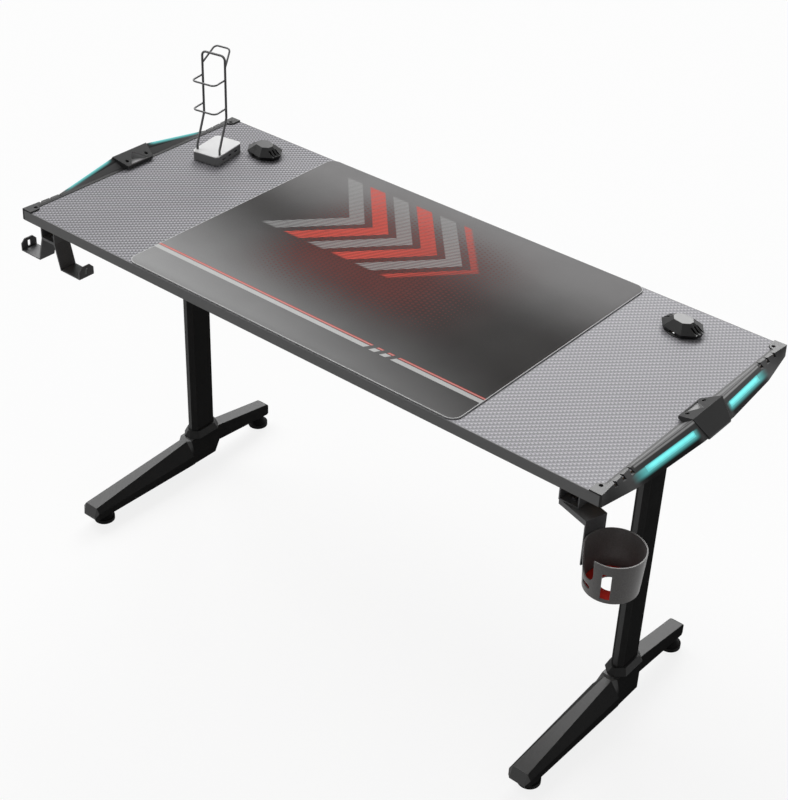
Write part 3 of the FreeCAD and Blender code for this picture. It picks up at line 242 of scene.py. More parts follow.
class Finish(Shading):
    """A material in the making, with one Principled shader."""

    def __init__(self, name, **constants):
        self.material = bpy.data.materials.new(name)
        super().__init__(self.material)
        self.shader = next(n for n in self.tree.nodes if n.type == "BSDF_PRINCIPLED")
        self.use(**constants)
        self.place = self.node("ShaderNodeTexCoord", output="Object")

    def axes(self):
        """X, Y and Z of the place on the object, in metres."""
        return [self.node("ShaderNodeSeparateXYZ", None, {0: self.place}, axis) for axis in "XYZ"]

    def stretched(self, x, y, z):
        """The place with its axes multiplied."""
        return self.node("ShaderNodeVectorMath", {"operation": "MULTIPLY"}, {0: self.place, 1: (x, y, z)})

    def noise(self, scale, detail, place=None, roughness=0.5):
        """Soft clouds, 0 to 1, this many to the metre."""
        inputs = {"Vector": place or self.place, "Scale": scale, "Detail": detail, "Roughness": roughness}
        return self.node("ShaderNodeTexNoise", None, inputs, "Fac")

    def cells(self, scale, place=None):
        """Distance from the middle of each of many grains."""
        inputs = {"Vector": place or self.place, "Scale": scale}
        return self.node("ShaderNodeTexVoronoi", None, inputs, "Distance")

    def mix(self, factor, first, second):
        """A colour between two colours."""
        return self.node("ShaderNodeMix", {"data_type": "RGBA"}, {0: factor, 6: first, 7: second}, 2)

    def raised(self, front=0.0, low=0.2, high=0.9):
        """1 where a face looks up, a share of that where it looks to the front, 0 elsewhere."""
        normal = self.node("ShaderNodeNewGeometry", output="Normal")
        y, z = (self.node("ShaderNodeSeparateXYZ", None, {0: normal}, axis) for axis in "YZ")
        return (z - y * front).smooth(low, high)

    def edges(self, radius):
        """1 on the edges of a piece, 0 farther from them than a radius."""
        normals = {0: self.rounded(radius), 1: self.node("ShaderNodeNewGeometry", output="Normal")}
        agree = self.node("ShaderNodeVectorMath", {"operation": "DOT_PRODUCT"}, normals, "Value")
        return agree.smooth(0.985, 0.88)

    def rounded(self, radius):
        """Normals over edges that are rounded by a radius."""
        return self.node("ShaderNodeBevel", {"samples": 4}, {"Radius": radius})

    def use(self, **sockets):
        """Feed the shader's sockets, named with _ for a space."""
        for socket, value in sockets.items():
            self.feed(self.shader.inputs[socket.replace("_", " ")], value)
        return self

    def tint(self, factor, over):
        """Lay a colour over the one the shader has."""
        under = Field(self, self.shader.inputs["Base Color"].links[0].from_socket)
        return self.use(Base_Color=self.mix(factor, under, over))

    def relief(self, height, distance, strength, rounding=0.0):
        """Bump from a height, over edges that are rounded by a radius."""
        inputs = {"Height": height, "Distance": distance, "Strength": strength}
        if rounding:
            inputs["Normal"] = self.rounded(rounding)
        return self.use(Normal=self.node("ShaderNodeBump", None, inputs))


def tone(base, factor):
    """A colour made lighter or darker."""
    return tuple(min(1.0, channel * factor) for channel in base)


def between(factor, low, high):
    """A number between two numbers."""
    return low + (high - low) * factor


def dress(finish, *names):
    """Give CAD nodes a finish."""
    for name in names:
        for material_slot in frame["nodes"][name].material_slots:
            material_slot.material = finish.material


def both(*stems):
    """Names of the nodes that both ends of the desk have."""
    return [f"{stem}_{side}" for stem in stems for side in SIDES]


def weave_print(settings):
    """Printed twill: light threads over every third dark one, a shadow beside each, and painted shade that
    darkens the left end.
    """
    finish = Finish("weave_print", Specular_IOR_Level=0.15)
    repeat = 3.0
    light_print, dark_print, shadow_print = 0.95, 0.42, 0.3
    weft_height = 0.62
    left_contrast, right_contrast = 1.1, 0.65

    x, y, _ = finish.axes()
    across, along = x / settings.thread, y / settings.thread
    column, row = across.floor(), along.floor()
    lag = (column - row) % repeat
    over, beside = lag < 0.5, abs(lag - 1.0) < 0.5
    ridge_x = ((across - column) * math.pi).sine().most(0.0)
    ridge_y = ((along - row) * math.pi).sine().most(0.0)
    warp = ridge_x ** 0.3 * ridge_y ** 0.3
    weft = ridge_y ** 0.6
    height = over * warp + (1 - over) * weft * weft_height

    fibres = finish.noise(1.0, 2.0, finish.stretched(900, 240, 300))
    drift = finish.noise(2.3, 2.0)
    # Painted shade: the threads print darker towards the left end.
    left_shade = 1 - x.smooth(0.3, -0.7) * 0.28
    contrast = between(x.smooth(-0.45, 0.45), left_contrast, right_contrast)
    threads = over * warp * light_print + (1 - over) * weft * dark_print - beside * weft * shadow_print
    even = (threads * left_shade + (fibres - 0.5) * 0.3 - 0.5) * contrast + 0.5
    light = (even + (drift - 0.5) * 0.2).clamp()
    gap = (1 - height).smooth(0.75, 1.0)
    ground = finish.mix(light, tuple(settings.dark), tuple(settings.light))
    finish.use(Base_Color=finish.mix(gap * contrast * 0.5, ground, tone(settings.dark, 0.55)),
               Roughness=between(height * 0.7 + fibres * 0.3, 0.52, 0.36))
    return finish.relief(height, distance=0.00022, strength=0.5)


def satin_band(settings):
    """Edge band: satin plastic with a fine grain along its length."""
    finish = Finish("edge_band", Specular_IOR_Level=0.3)
    grain = finish.noise(1.0, 3.0, finish.stretched(18, 900, 1400))
    drift = finish.noise(3.0, 2.0)
    streaks = grain * 0.7 + drift * 0.3
    finish.use(Base_Color=finish.mix(streaks, tone(settings.band, 0.8), tone(settings.band, 1.22)),
               Roughness=between(grain, 0.42, 0.58))
    return finish.relief(grain, distance=0.00012, strength=0.4, rounding=0.0009)


def moulded(name, base, rounding, roughness=0.5, grain=1500.0, specular=0.1, wear_and_painted_light=1.0, edge_highlight=1.0):
    """Moulded plastic: fine spark-eroded grain and drifts of gloss; painted light can make up-facing faces
    paler, and a painted highlight can make edges paler.
    """
    finish = Finish(name, Specular_IOR_Level=specular)
    fine = finish.noise(grain, 2.0)
    drift = finish.noise(9.0, 3.0)
    pits = finish.cells(grain * 0.55)
    skin = finish.mix(fine * 0.5 + drift * 0.5, tone(base, 0.75), tone(base, 1.3))
    # Up-facing faces in a lighter tone: painted light.
    if wear_and_painted_light != 1:
        skin = finish.mix(finish.raised(), skin, tone(base, wear_and_painted_light))
    # Lighter edges: painted highlight.
    if edge_highlight != 1:
        skin = finish.mix(finish.edges(rounding), skin, tone(base, edge_highlight))
    finish.use(Base_Color=skin,
               Roughness=between(drift * 0.6 + fine * 0.4, roughness - 0.1, roughness + 0.12))
    return finish.relief(fine * 0.6 + pits * 0.4, distance=0.00018, strength=0.35, rounding=rounding)


def powder_coat(name, base, rounding, roughness=0.42, specular=0.0, polish=0.85, edge_highlight=1.0):
    """Powder coat: orange-peel ripple with fine sparkle, a little dust, and polish on top and in front."""
    finish = Finish(name, Specular_IOR_Level=specular)
    peel = finish.noise(420.0, 2.0)
    grit = finish.cells(1300.0)
    dust = finish.noise(6.0, 4.0, roughness=0.65).smooth(0.5, 0.75)
    paint = finish.mix(peel, tone(base, 0.7), tone(base, 1.35))
    # Lighter edges: painted highlight.
    if edge_highlight != 1:
        paint = finish.mix(finish.edges(rounding) * 0.7, paint, tone(base, edge_highlight))
    if polish:
        finish.use(Coat_Weight=finish.raised(front=0.8, low=0.5, high=0.95) * polish, Coat_Roughness=0.4)
    finish.use(Base_Color=finish.mix(dust * 0.18, paint, tone(base, 2.2)),
               Roughness=between(grit * 0.5 + dust * 0.5, roughness - 0.08, roughness + 0.16))
    return finish.relief(peel * 0.7 + grit * 0.3, distance=0.0002, strength=0.35, rounding=rounding)


class TrimPlaces:
    """Places on an end trim, in metres from the desk's middle and as shares of its leaning outer face."""

    TALL, TAPER = 0.048, 0.158            # along the end: where the trim starts to taper, and for how far
    CREST, CREST_FALL = 0.789, 0.018      # top edge of the face: its height, and its fall along the taper
    FOOT, FOOT_FALL = 0.759, 0.012        # bottom edge of the face
    OUT, OUT_FALL = 0.710, 0.017          # the crest's distance, and how far it draws in along the taper
    LIP = 0.689                           # inner edge of the lip, which rises to the crest
    BAR, BAR_RUN = 0.058, 0.124           # along the end: where the lit bar starts, and for how far
    BAR_FOOT, BAR_FOOT_FALL = 0.63, 0.04  # the bar's lower edge on the face, and its fall along the bar

    def __init__(self, finish):
        self.x, self.y, z = finish.axes()
        self.reach = abs(self.y)
        along = (self.reach - self.TALL) / self.TAPER
        crest = self.CREST - self.CREST_FALL * along
        foot = self.FOOT - self.FOOT_FALL * along
        self.drop = (crest - z) / (crest - foot)
        self.bar_foot = self.BAR_FOOT + (self.reach - self.BAR) * (self.BAR_FOOT_FALL / self.BAR_RUN)
        self.out = abs(self.x) - (self.OUT - self.OUT_FALL * along)

    def stretch(self, start, full, fade, end):
        """1 along a stretch of the trim: it comes in from start to full and goes from fade to end."""
        return self.reach.smooth(start, full) * self.reach.smooth(end, fade)

    def across_lip(self):
        """0 at the inner edge of the lip, 1 at the crest."""
        from_lip = abs(self.x) - self.LIP
        return from_lip / (from_lip - self.out)


def lit(settings):
    """Milky strip with light behind it, dimmer along its edges, at its ends and between its lamps."""
    finish = Finish("lit_strip", Roughness=0.35, Specular_IOR_Level=0.1, Emission_Strength=settings.strength)
    lamp_pitch, lamp_share = 0.0165, 0.06
    places = TrimPlaces(finish)
    lamps = ((places.y * (TURN / lamp_pitch)).sine() * 0.5 + 0.5) * lamp_share
    ends = places.stretch(0.057, 0.064, 0.166, 0.184) * 0.75 + 0.25
    across = (places.bar_foot - places.drop).smooth(-0.02, 0.20) * (1 - lamp_share) + lamps
    glow = across * ends * places.drop.smooth(0.36, 0.48)
    finish.use(Base_Color=finish.mix(glow, tone(settings.deep, 0.5), tone(settings.colour, 0.3)),
               Emission_Color=finish.mix(glow, tuple(settings.deep), tuple(settings.colour)))
    return finish.relief(finish.noise(600.0, 2.0), distance=0.0001, strength=0.2)


def trim_plastic(side, settings, lights):
    """Trim moulding with painted light: a pale strip and highlights on lip and crest, painted shade in a
    groove and below the lit strips, a lighter front half of the face, and a painted glow around the strips.
    """
    # Per side: the right trim gets paler tops and tints (painted light) and a stronger coat than the left.
    polish, wear_and_painted_light = {"left": (0.2, 1.2), "right": (0.55, 2.8)}[side]
    finish = moulded(f"trim_plastic_{side}", tuple(settings.trim), rounding=0.0009, roughness=0.46,
                     grain=1300.0, specular=0.08, wear_and_painted_light=wear_and_painted_light)
    places = TrimPlaces(finish)
    drop, out = places.drop, places.out
    outside = out.smooth(-0.001, 0.002)
    tapered = places.reach.smooth(0.203, 0.200)
    face = outside * places.reach.smooth(0.216, 0.200)

    # Painted glow: the trim plastic, which is no lamp, glows around the lit strips and, on the left trim,
    # along its crest.
    around_bar = (drop - places.bar_foot).smooth(0.20, -0.03) * drop.smooth(0.34, 0.42)
    glow = around_bar * places.stretch(0.046, 0.062, 0.178, 0.222) * outside * lights.painted_spill
    if side == "left":
        glow = glow.most(out.smooth(-0.006, 0.0) * places.stretch(0.05, 0.07, 0.17, 0.20) * lights.rim)
    finish.use(Emission_Color=finish.mix(glow, (0, 0, 0), tuple(lights.colour)), Emission_Strength=1.0)

    # Painted light on the trim: a pale strip, crest and lip highlights, painted shade in the groove and
    # below the bars, and a lighter front half of the outer face; the right trim's tints run paler.
    lip = out.smooth(0.0008, -0.0002) * tapered
    across = places.across_lip()
    edge = outside * tapered
    strip = across.smooth(0.03, 0.08) * across.smooth(0.60, 0.54) * lip
    groove_shade = abs(across - 0.65).smooth(0.08, 0.04) * lip
    painted_light_front_face = face * places.y.smooth(0.03, -0.03)
    shade_below_bars = places.stretch(0.046, 0.062, 0.178, 0.235) * outside * drop.smooth(0.35, 0.62)
    crest = edge * drop.smooth(0.17, 0.12)
    crest_highlight = edge * abs(drop - 0.09).smooth(0.05, 0.02)
    lip_highlight = across.smooth(0.88, 0.93) * lip * 0.8
    for mask, factor in ((strip, 2.2 * wear_and_painted_light), (groove_shade, 0.6 * wear_and_painted_light), (painted_light_front_face, 2.4), (shade_below_bars, 0.1),
                         (crest, 3.2 * wear_and_painted_light), (crest_highlight, 5.5 * wear_and_painted_light), (lip_highlight, 2.0 * wear_and_painted_light)):
        finish.tint(mask, tone(settings.trim, factor))
    return finish.use(Coat_Weight=finish.raised() * (1 - face) * polish, Coat_Roughness=0.35)


def block_plastic(settings):
    """Centre block: trim plastic with a painted highlight on its edges and a pale triangular recess."""
    finish = moulded("block_plastic", tone(settings.trim, 1.25), rounding=0.0012, roughness=0.42,
                     grain=1300.0, edge_highlight=4.5)
    recess_start, recess_run, recess_half = 0.6785, 0.0255, 0.023
    top_start, top_height, top_slope = 0.676, 0.776, 15 / 34

    x, y, z = finish.axes()
    way = (abs(x) - recess_start) / recess_run
    across = (1 - way) * recess_half - abs(y)
    sunk = top_height + (abs(x) - top_start) * top_slope - z
    recess = (way > -0.03) * (across > -0.0006) * sunk.smooth(0.0004, 0.0012)
    return finish.tint(recess, tone(settings.trim, 10))


def mat_print(settings):
    """Printed cloth: a dark ground that fades to grey, two lines along the front and hatched chevrons."""
    finish = Finish("mat_print", Specular_IOR_Level=0.04, Sheen_Weight=0.03, Sheen_Roughness=0.4)
    weave_pitch = 0.0011
    low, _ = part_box("desk_mat")
    x, y, _ = finish.axes()
    from_left, from_front = x - low.x, y - low.y

    fade_front = (from_front + from_left * 0.28).smooth(0.40, -0.05)
    fade_rear = from_front.smooth(0.30, 0.56)
    red_ink, grey_ink = chevrons(finish, from_left, from_front)
    fall, dots = halftone(from_left, from_front)
    grey_line, red_line, core = front_lines(settings, from_left, from_front)
    pale = tone(settings.grey, 1.6)
    printed = tuple(settings.ground)
    for mask, ink in ((fade_front, tuple(settings.front)), (fade_rear, tuple(settings.rear)),
                      (fall * 0.6, tone(settings.red, 0.07)), (dots, tone(settings.red, 0.22)),
                      (red_ink, tuple(settings.red)), (grey_ink, tuple(settings.grey)),
                      (grey_line, pale), (red_line, tuple(settings.red)), (core * 0.5, pale)):
        printed = finish.mix(mask, printed, ink)

    warp = (x * (TURN / weave_pitch)).sine() * 0.5 + 0.5
    weft = (y * (TURN / weave_pitch)).sine() * 0.5 + 0.5
    cloth = warp * 0.5 + weft * 0.5
    drift = finish.noise(14.0, 3.0)
    finish.use(Base_Color=finish.mix(cloth * 0.16 + drift * 0.1, printed, tone(settings.ground, 0.6)),
               Roughness=between(cloth * 0.5 + drift * 0.5, 0.4, 0.62))
    return finish.relief(cloth, distance=0.00012, strength=0.35)


def chevrons(finish, from_left, from_front):
    """Red and grey ink of nested chevrons that point to the right, hatched with fine slanted strokes."""
    start, middle, arm_slope = 0.20, 0.42, 0.9
    half_width, run, pitch = 0.128, 0.325, 0.062
    stroke_slope, stroke_pitch = 1.6, 0.011

    aside = abs(from_front - middle)
    bend = from_left - start + aside * arm_slope
    inside = (aside.smooth(half_width + 0.007, half_width)
              * bend.smooth(-0.02, -0.012) * bend.smooth(run + 0.01, run))
    step = bend / pitch
    number = step.floor()
    part = step - number
    bar = part.smooth(0.70, 0.66) * part.smooth(0.0, 0.05)
    odd = number % 2.0 > 0.5
    hatch = ((from_left - from_front * stroke_slope) * (TURN / stroke_pitch)).sine()
    strokes = hatch.smooth(-0.55, -0.15) * 0.95 + 0.05
    wear_and_painted_light = finish.noise(70.0, 3.0).smooth(0.2, 0.45) * 0.25 + 0.75
    ink = inside * bar * strokes * wear_and_painted_light
    fade = from_left.smooth(0.56, 0.30)
    return ink * odd * (fade * 0.5 + 0.5), ink * (1 - odd) * 0.8


def halftone(from_left, from_front):
    """Dim red that falls off from the middle of the mat, and dots that shrink with it."""
    pitch = 0.0095
    columns = from_left / pitch
    column = columns.floor()
    rows = from_front / pitch + column % 2.0 * 0.5
    across = columns - column - 0.5
    up = rows - rows.floor() - 0.5
    distance = (across * across + up * up) ** 0.5
    fall = (from_front.smooth(0.08, 0.26) * from_front.smooth(0.60, 0.42)
            * from_left.smooth(0.08, 0.26) * from_left.smooth(0.70, 0.42))
    return fall, (fall * 0.5 - distance).smooth(-0.03, 0.09) * 0.5


def front_lines(settings, from_left, from_front):
    """A wide grey line and a thin red one with a pale core along the front, broken by three slanted gaps."""
    gap_places, gap_half, gap_slope = (0.50, 0.525, 0.55), 0.006, 0.6
    apart = 0.0022

    slant = from_left - from_front * gap_slope
    first, second, third = (abs(slant - place) < gap_half for place in gap_places)
    whole = 1 - first.most(second).most(third)
    grey_start = settings.line_inset
    grey_end = grey_start + settings.line_grey
    red_start = grey_end + apart
    red_end = red_start + settings.line_red
    grey_line = (from_front > grey_start) * (from_front < grey_end) * whole
    red_line = (from_front > red_start) * (from_front < red_end) * whole
    from_core = abs(from_front - (red_start + red_end) / 2)
    core = from_core.smooth(settings.line_red * 0.35, settings.line_red * 0.15)
    return grey_line, red_line, core * whole


def thread(name, base, pitch):
    """Overlock thread: slanted turns round an edge."""
    finish = Finish(name, Roughness=0.6, Specular_IOR_Level=0.3, Sheen_Weight=0.2)
    x, y, z = finish.axes()
    turns = ((x + y + z * 1.5) * (TURN / pitch)).sine() * 0.5 + 0.5
    fuzz = finish.noise(2200.0, 2.0)
    finish.use(Base_Color=finish.mix(turns * 0.7 + fuzz * 0.3, tone(base, 0.75), tone(base, 1.15)))
    return finish.relief(turns * 0.8 + fuzz * 0.2, distance=0.0006, strength=0.7)


def particle_board():
    """Pressed chips of wood."""
    finish = Finish("particle_board", Specular_IOR_Level=0.25)
    chips = finish.cells(260.0, place=finish.stretched(1.0, 1.7, 2.6))
    grain = finish.noise(90.0, 4.0)
    finish.use(Base_Color=finish.mix(chips * 0.6 + grain * 0.5, shade(96, 74, 52), shade(176, 146, 108)),
               Roughness=between(grain, 0.65, 0.85))
    return finish.relief(chips, distance=0.0004, strength=0.4)


def bare_metal(name, base, roughness=0.3):
    """Turned or plated metal with fine scratches."""
    finish = Finish(name, Metallic=1.0)
    scratches = finish.noise(1.0, 3.0, finish.stretched(2400, 2400, 160))
    tarnish = finish.noise(60.0, 3.0)
    finish.use(Base_Color=finish.mix(tarnish, tone(base, 0.75), tone(base, 1.1)),
               Roughness=between(scratches * 0.6 + tarnish * 0.4, roughness - 0.1, roughness + 0.2))
    return finish.relief(scratches, distance=0.00006, strength=0.3)


def glossy(name, base, rounding, facet):
    """Glossy moulding with a clear coat and faint swirls, a painted highlight on its edges and a painted
    reflection on its top facet, in a tone of its own.
    """
    finish = Finish(name, Specular_IOR_Level=0.12, Coat_Roughness=0.12)
    swirl = finish.noise(35.0, 4.0)
    fine = finish.noise(900.0, 2.0)
    top = finish.raised(low=0.92, high=0.98)
    sides = finish.mix(swirl * 0.5 + fine * 0.5, tone(base, 0.7), tone(base, 1.3))
    # Paler edges: painted highlight.
    sides = finish.mix(finish.edges(rounding) * 0.8, sides, shade(112, 112, 112))
    # Top facet in its own tone: painted reflection.
    finish.use(Base_Color=finish.mix(top, sides, facet), Roughness=between(swirl, 0.2, 0.38),
               Coat_Weight=between(swirl, 0.1, 0.3))
    return finish.relief(fine, distance=0.00006, strength=0.25, rounding=rounding)


def brushed_plate(name, base):
    """Pale satin plate, brushed along its length."""
    finish = Finish(name, Specular_IOR_Level=0.4)
    strokes = finish.noise(1.0, 3.0, finish.stretched(2600, 90, 600))
    drift = finish.noise(25.0, 2.0)
    finish.use(Base_Color=finish.mix(strokes * 0.6 + drift * 0.4, tone(base, 0.8), tone(base, 1.08)),
               Roughness=between(strokes, 0.3, 0.46))
    return finish.relief(strokes, distance=0.00006, strength=0.3, rounding=0.0006)


def rubber(name, base):
    """Matt rubber with a pebbled skin."""
    finish = Finish(name, Specular_IOR_Level=0.08)
    pebbles = finish.cells(900.0)
    bloom = finish.noise(40.0, 3.0)
    finish.use(Base_Color=finish.mix(bloom, tone(base, 0.8), tone(base, 1.6)),
               Roughness=between(bloom, 0.6, 0.82))
    return finish.relief(pebbles, distance=0.00025, strength=0.4, rounding=0.0006)


def ring_outline(low, high, corner, steps=10):
    """Points round a rectangle with rounded corners, and the direction out of it at each."""
    points = []
    quarters = ((high.x, high.y, 0), (low.x, high.y, 90), (low.x, low.y, 180), (high.x, low.y, 270))
    for x, y, start in quarters:
        centre = Vector((x - math.copysign(corner, x - (low.x + high.x) / 2),
                         y - math.copysign(corner, y - (low.y + high.y) / 2)))
        for step in range(steps + 1):
            angle = math.radians(start + 90 * step / steps)
            outward = Vector((math.cos(angle), math.sin(angle)))
            points.append((centre + outward * corner, outward))
    return points


def rings_along(made, outline, profile):
    """Rings of points, one for each inset from the outline and height in the profile."""
    return [[made.verts.new((*(spot - outward * inset), z)) for spot, outward in outline]
            for inset, z in profile]


def skin_between(made, rings):
    """Faces from each ring to the next."""
    for first, second in zip(rings, rings[1:]):
        for corners in zip(first, first[1:] + first[:1], second[1:] + second[:1], second):
            made.faces.new(corners)


def new_piece(name, mesh_builder, finish, body):
    """A smooth mesh object that rides on a body."""
    made = bmesh.new()
    mesh_builder(made)
    bmesh.ops.recalc_face_normals(made, faces=made.faces[:])
    mesh = bpy.data.meshes.new(name)
    made.to_mesh(mesh)
    made.free()
    for face in mesh.polygons:
        face.use_smooth = True
    piece = bpy.data.objects.new(name, mesh)
    bpy.context.scene.collection.objects.link(piece)
    mesh.materials.append(finish.material)
    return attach(piece, body)


class DESK_OT_top(Operator):
    """Print the top and finish its edge bands and board"""

    bl_idname = "desk.top"
    bl_label = "Top"

    def execute(self, context):
        settings = context.scene.desk_top
        dress(weave_print(settings), "top_laminate")
        dress(satin_band(settings), "front_edge_band", "rear_edge_band")
        dress(particle_board(), "desktop_board")
        return {"FINISHED"}


class DESK_OT_mat(Operator):
    """Lay the printed mat with its overlocked edge"""

    bl_idname = "desk.mat"
    bl_label = "Mat"

    def execute(self, context):
        settings = context.scene.desk_mat
        low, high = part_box("desk_mat")
        corner, rim, thread_pitch, bead_sides = 0.022, 0.0012, 0.0034, 8
        clear = 0.0003
        outline = ring_outline(low, high, corner)

        def slab(made):
            profile = ((0.0016, low.z + 0.0002), (0.0004, low.z + 0.0010), (0.0004, high.z - 0.0012),
                       (0.0008, high.z - 0.0004), (0.0018, high.z))
            rings = rings_along(made, outline, profile)
            skin_between(made, rings)
            made.faces.new(rings[0])
            made.faces.new(rings[-1])

        def bead(made):
            middle, half = (low.z + high.z) / 2 + clear, (high.z - low.z) / 2 - 0.0002
            angles = [TURN * step / bead_sides for step in range(bead_sides)]
            profile = [(rim + clear - math.cos(angle) * rim, middle + math.sin(angle) * half)
                       for angle in angles]
            rings = rings_along(made, outline, profile)
            skin_between(made, rings + rings[:1])

        mat = new_piece("printed_mat", slab, mat_print(settings), "desk")
        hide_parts("desk_mat")
        stitching = thread("overlock_thread", tuple(settings.stitch), thread_pitch)
        edge = new_piece("mat_overlock", bead, stitching, "desk")
        return {"FINISHED"}


class DESK_OT_trims(Operator):
    """Finish the end trims and their screws"""

    bl_idname = "desk.trims"
    bl_label = "End trims"

    def execute(self, context):
        settings = context.scene.desk_coats
        for side in SIDES:
            dress(trim_plastic(side, settings, context.scene.desk_lights), f"side_trim_{side}")
        dress(block_plastic(settings), *both("trim_block"))
        dress(powder_coat("black_screws", shade(18, 18, 18), rounding=0.0, polish=0.0), "trim_screws")
        return {"FINISHED"}


class DESK_OT_lights(Operator):
    """Light the strips of the end trims"""

    bl_idname = "desk.lights"
    bl_label = "Lights"

    def execute(self, context):
        strips = both("light_diffuser_front", "light_diffuser_rear", "led_strip")
        dress(lit(context.scene.desk_lights), *strips)
        return {"FINISHED"}


class DESK_OT_frame(Operator):
    """Finish the legs, the frame under the top and the glides"""

    bl_idname = "desk.frame"
    bl_label = "Frame"

    def execute(self, context):
        settings = context.scene.desk_coats
        # Lighter edges on the frame are a painted highlight.
        coat = powder_coat("frame_coat", tuple(settings.frame), rounding=0.0012, edge_highlight=2.6)
        dress(coat, *both("column", "foot", "head_plate", "top_bracket"))
        dress(coat, "cross_beam_front", "cross_beam_rear")
        collar = moulded("collar_plastic", tuple(settings.frame), rounding=0.001, roughness=0.4)
        dress(collar, *both("foot_collar"))
        dress(rubber("glide_plastic", shade(14, 14, 14)), *both("glide_front", "glide_rear"))
        dress(bare_metal("insert_brass", shade(190, 160, 96)), "glide_inserts")
        dress(bare_metal("plain_steel", shade(130, 130, 132)), *both("column_plug"))
        dress(bare_metal("frame_bolts", shade(60, 60, 62), roughness=0.4), "bracket_screws",
              "column_head_bolts", "beam_bolts", "foot_bolts", "accessory_screws")
        return {"FINISHED"}


class DESK_OT_grommets(Operator):
    """Finish the cable grommets"""

    bl_idname = "desk.grommets"
    bl_label = "Grommets"

    def execute(self, context):
        settings = context.scene.desk_coats
        # Each cap gets its own top tone: painted reflection, lighter on the right.
        for side, facet in zip(SIDES, (settings.painted_facet_left, settings.painted_facet_right)):
            gloss = glossy(f"grommet_gloss_{side}", tuple(settings.gloss), rounding=0.0008,
                           facet=tuple(facet))
            dress(gloss, f"grommet_sleeve_{side}", f"grommet_cap_{side}")
        return {"FINISHED"}


class DESK_OT_accessories(Operator):
    """Finish the headset hook and the cup holder"""

    bl_idname = "desk.accessories"
    bl_label = "Hook and cup holder"

    def execute(self, context):
        settings = context.scene.desk_coats
        # Lighter edges on the hook, brackets, arm and cup are a painted highlight.
        coat = powder_coat("bracket_coat", tuple(settings.accessory), rounding=0.0006, specular=0.1,
                           edge_highlight=2.2)
        dress(coat, "hook_bracket", "headset_hook", "cup_bracket", "cup_arm")
        cup = powder_coat("cup_coat", tuple(settings.cup), rounding=0.0006, roughness=0.38, specular=0.25,
                          polish=0.25, edge_highlight=2.2)
        dress(cup, "cup_ring")
        dress(rubber("cup_rubber", tuple(settings.cup_pad)), "cup_pad")
        dress(bare_metal("swivel_bolts", shade(96, 96, 98), roughness=0.35), "hook_bolt", "cup_bolt")
        return {"FINISHED"}


class DESK_OT_control(Operator):
    """Finish the light control under the top"""

    bl_idname = "desk.control"
    bl_label = "Light control"

    def execute(self, context):
        dress(moulded("control_plastic", shade(30, 30, 30), rounding=0.0012), "light_control_box")
        dress(rubber("button_rubber", shade(48, 48, 50)), "light_button")
        dress(bare_metal("jack_metal", shade(170, 170, 172)), "power_inlet")
        return {"FINISHED"}


class DESK_OT_stand(Operator):
    """Finish the controller stand"""

    bl_idname = "desk.stand"
    bl_label = "Controller stand"

    def execute(self, context):
        settings = context.scene.desk_coats
        dress(moulded("stand_plastic", shade(128, 128, 128), rounding=0.001, roughness=0.42), "stand_base")
        dress(brushed_plate("stand_plate_satin", tuple(settings.plate)), "stand_plate")
        dress(bare_metal("port_metal", shade(160, 160, 162)), "stand_ports")
        dress(rubber("stand_rubber", shade(30, 30, 30)), "stand_feet")
        rack = powder_coat("rack_coat", shade(92, 92, 93), rounding=0.0, roughness=0.36, specular=0.2)
        dress(rack, "stand_rack")
        return {"FINISHED"}


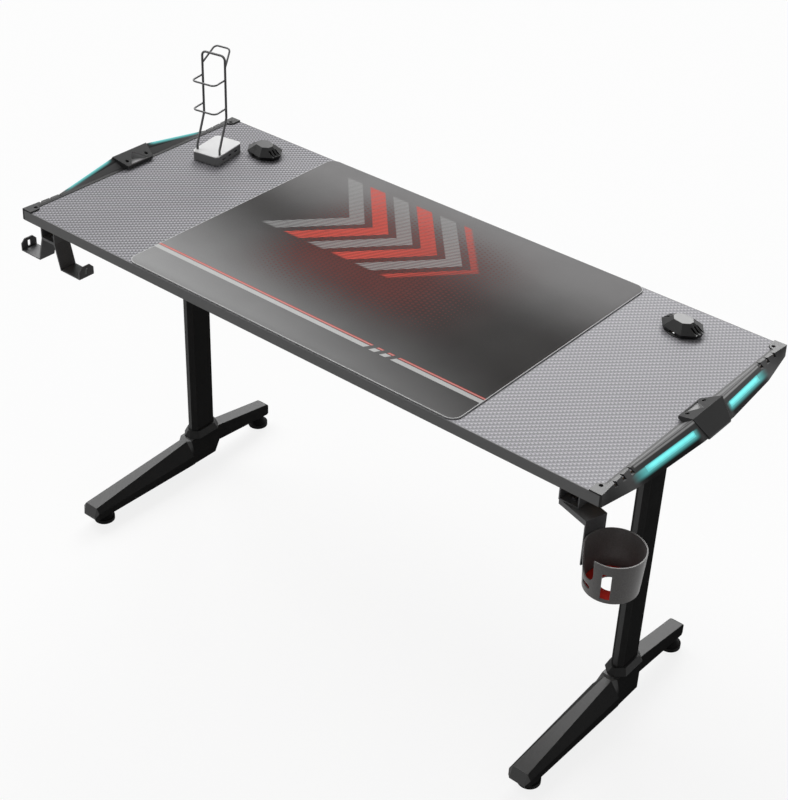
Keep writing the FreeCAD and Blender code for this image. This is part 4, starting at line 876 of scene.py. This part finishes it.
class DESK_OT_stage(Operator):
    """Set the camera, the lights and the floor"""

    bl_idname = "desk.stage"
    bl_label = "Stage"

    def execute(self, context):
        scene = context.scene
        settings = scene.desk_stage
        scene.view_settings.view_transform = "Standard"
        scene.camera = self.camera(settings)
        self.lamp("key", settings.key, spread=45, travel=(0.62, -0.10, -0.78))
        self.lamp("sheen", settings.sheen, spread=30, travel=(0.38, -0.70, -0.60))
        scene.world = bpy.data.worlds.new("studio")
        self.light_world(Shading(scene.world), settings.sky)
        self.floor()
        return {"FINISHED"}

    def camera(self, settings):
        """A camera that looks as the photograph does: its axes were solved with its place and lens."""
        right = Vector((0.7679, 0.639713, 0.033114))
        up = Vector((-0.382975, 0.41705, 0.824257))
        back = Vector((0.513478, -0.645629, 0.565247))
        lens = bpy.data.cameras.new("camera")
        lens.lens = settings.lens
        lens.clip_end = 100
        turned = Matrix((right, up, back)).transposed().to_4x4()
        camera = self.link("camera", lens)
        camera.matrix_world = Matrix.Translation(settings.place) @ turned
        return camera

    def link(self, name, data):
        """An object in the scene."""
        made = bpy.data.objects.new(name, data)
        bpy.context.scene.collection.objects.link(made)
        return made

    def lamp(self, name, strength, spread, travel):
        """A soft sun whose light travels this way."""
        light = bpy.data.lights.new(name, "SUN")
        light.energy = strength
        light.angle = math.radians(spread)
        self.link(name, light).rotation_euler = Vector(travel).to_track_quat("-Z", "Y").to_euler()

    def light_world(self, shading, sky):
        """Even light, and white where it is seen."""
        shading.tree.nodes.clear()
        light = shading.node("ShaderNodeBackground", None, {"Color": (1, 1, 1), "Strength": sky})
        white = shading.node("ShaderNodeBackground", None, {"Color": (1, 1, 1)})
        choice = shading.node("ShaderNodeMixShader", None, {0: shading.seen(), 1: light, 2: white})
        shading.node("ShaderNodeOutputWorld", None, {"Surface": choice})

    def floor(self):
        """A wide floor just below the feet."""
        half, sunk = 15, 0.0005
        corners = [(x, y, -sunk) for x, y in ((-half, -half), (half, -half), (half, half), (-half, half))]
        mesh = bpy.data.meshes.new("floor")
        mesh.from_pydata(corners, [], [(0, 1, 2, 3)])
        paint = bpy.data.materials.new("pale_floor")
        self.pale_paint(Shading(paint))
        mesh.materials.append(paint)
        return self.link("floor", mesh)

    def pale_paint(self, shading):
        """White paint that keeps a pale shadow, and throws little light back."""
        shading.tree.nodes.clear()
        white_share = 0.84
        grey = shading.node("ShaderNodeBsdfDiffuse", None, {"Color": (0.35, 0.35, 0.35)})
        matt = shading.node("ShaderNodeBsdfDiffuse", None, {"Color": (0.95, 0.95, 0.95)})
        white = shading.node("ShaderNodeEmission", None, {"Color": (1, 1, 1)})
        pale = shading.node("ShaderNodeMixShader", None, {0: white_share, 1: matt, 2: white})
        choice = shading.node("ShaderNodeMixShader", None, {0: shading.seen(), 1: grey, 2: pale})
        shading.node("ShaderNodeOutputMaterial", None, {"Surface": choice})


STEPS = (DESK_OT_stage, DESK_OT_top, DESK_OT_mat, DESK_OT_trims, DESK_OT_lights, DESK_OT_frame,
         DESK_OT_grommets, DESK_OT_accessories, DESK_OT_control, DESK_OT_stand)


class DESK_PT_panel(Panel):
    """Pieces of the desk and the values behind them"""

    bl_idname = "DESK_PT_panel"
    bl_label = "Gaming desk"
    bl_space_type = "VIEW_3D"
    bl_region_type = "UI"
    bl_category = "Desk"

    def draw(self, context):
        for step in STEPS:
            self.layout.operator(step.bl_idname)
        for name in GROUPS:
            group = getattr(context.scene, name)
            box = self.layout.box()
            for key in group.__annotations__:
                box.prop(group, key)


GROUPS = {"desk_top": TopSettings, "desk_mat": MatSettings, "desk_lights": LightSettings,
          "desk_coats": CoatSettings, "desk_stage": StageSettings}
CLASSES = (*GROUPS.values(), *STEPS, DESK_PT_panel)


def register():
    for cls in CLASSES:
        bpy.utils.register_class(cls)
    for name, group in GROUPS.items():
        setattr(bpy.types.Scene, name, PointerProperty(type=group))


def unregister():
    for name in GROUPS:
        delattr(bpy.types.Scene, name)
    for cls in reversed(CLASSES):
        bpy.utils.unregister_class(cls)


def main():
    register()
    for step in STEPS:
        group, name = step.bl_idname.split(".")
        getattr(getattr(bpy.ops, group), name)()


if __name__ == "__main__":
    main()
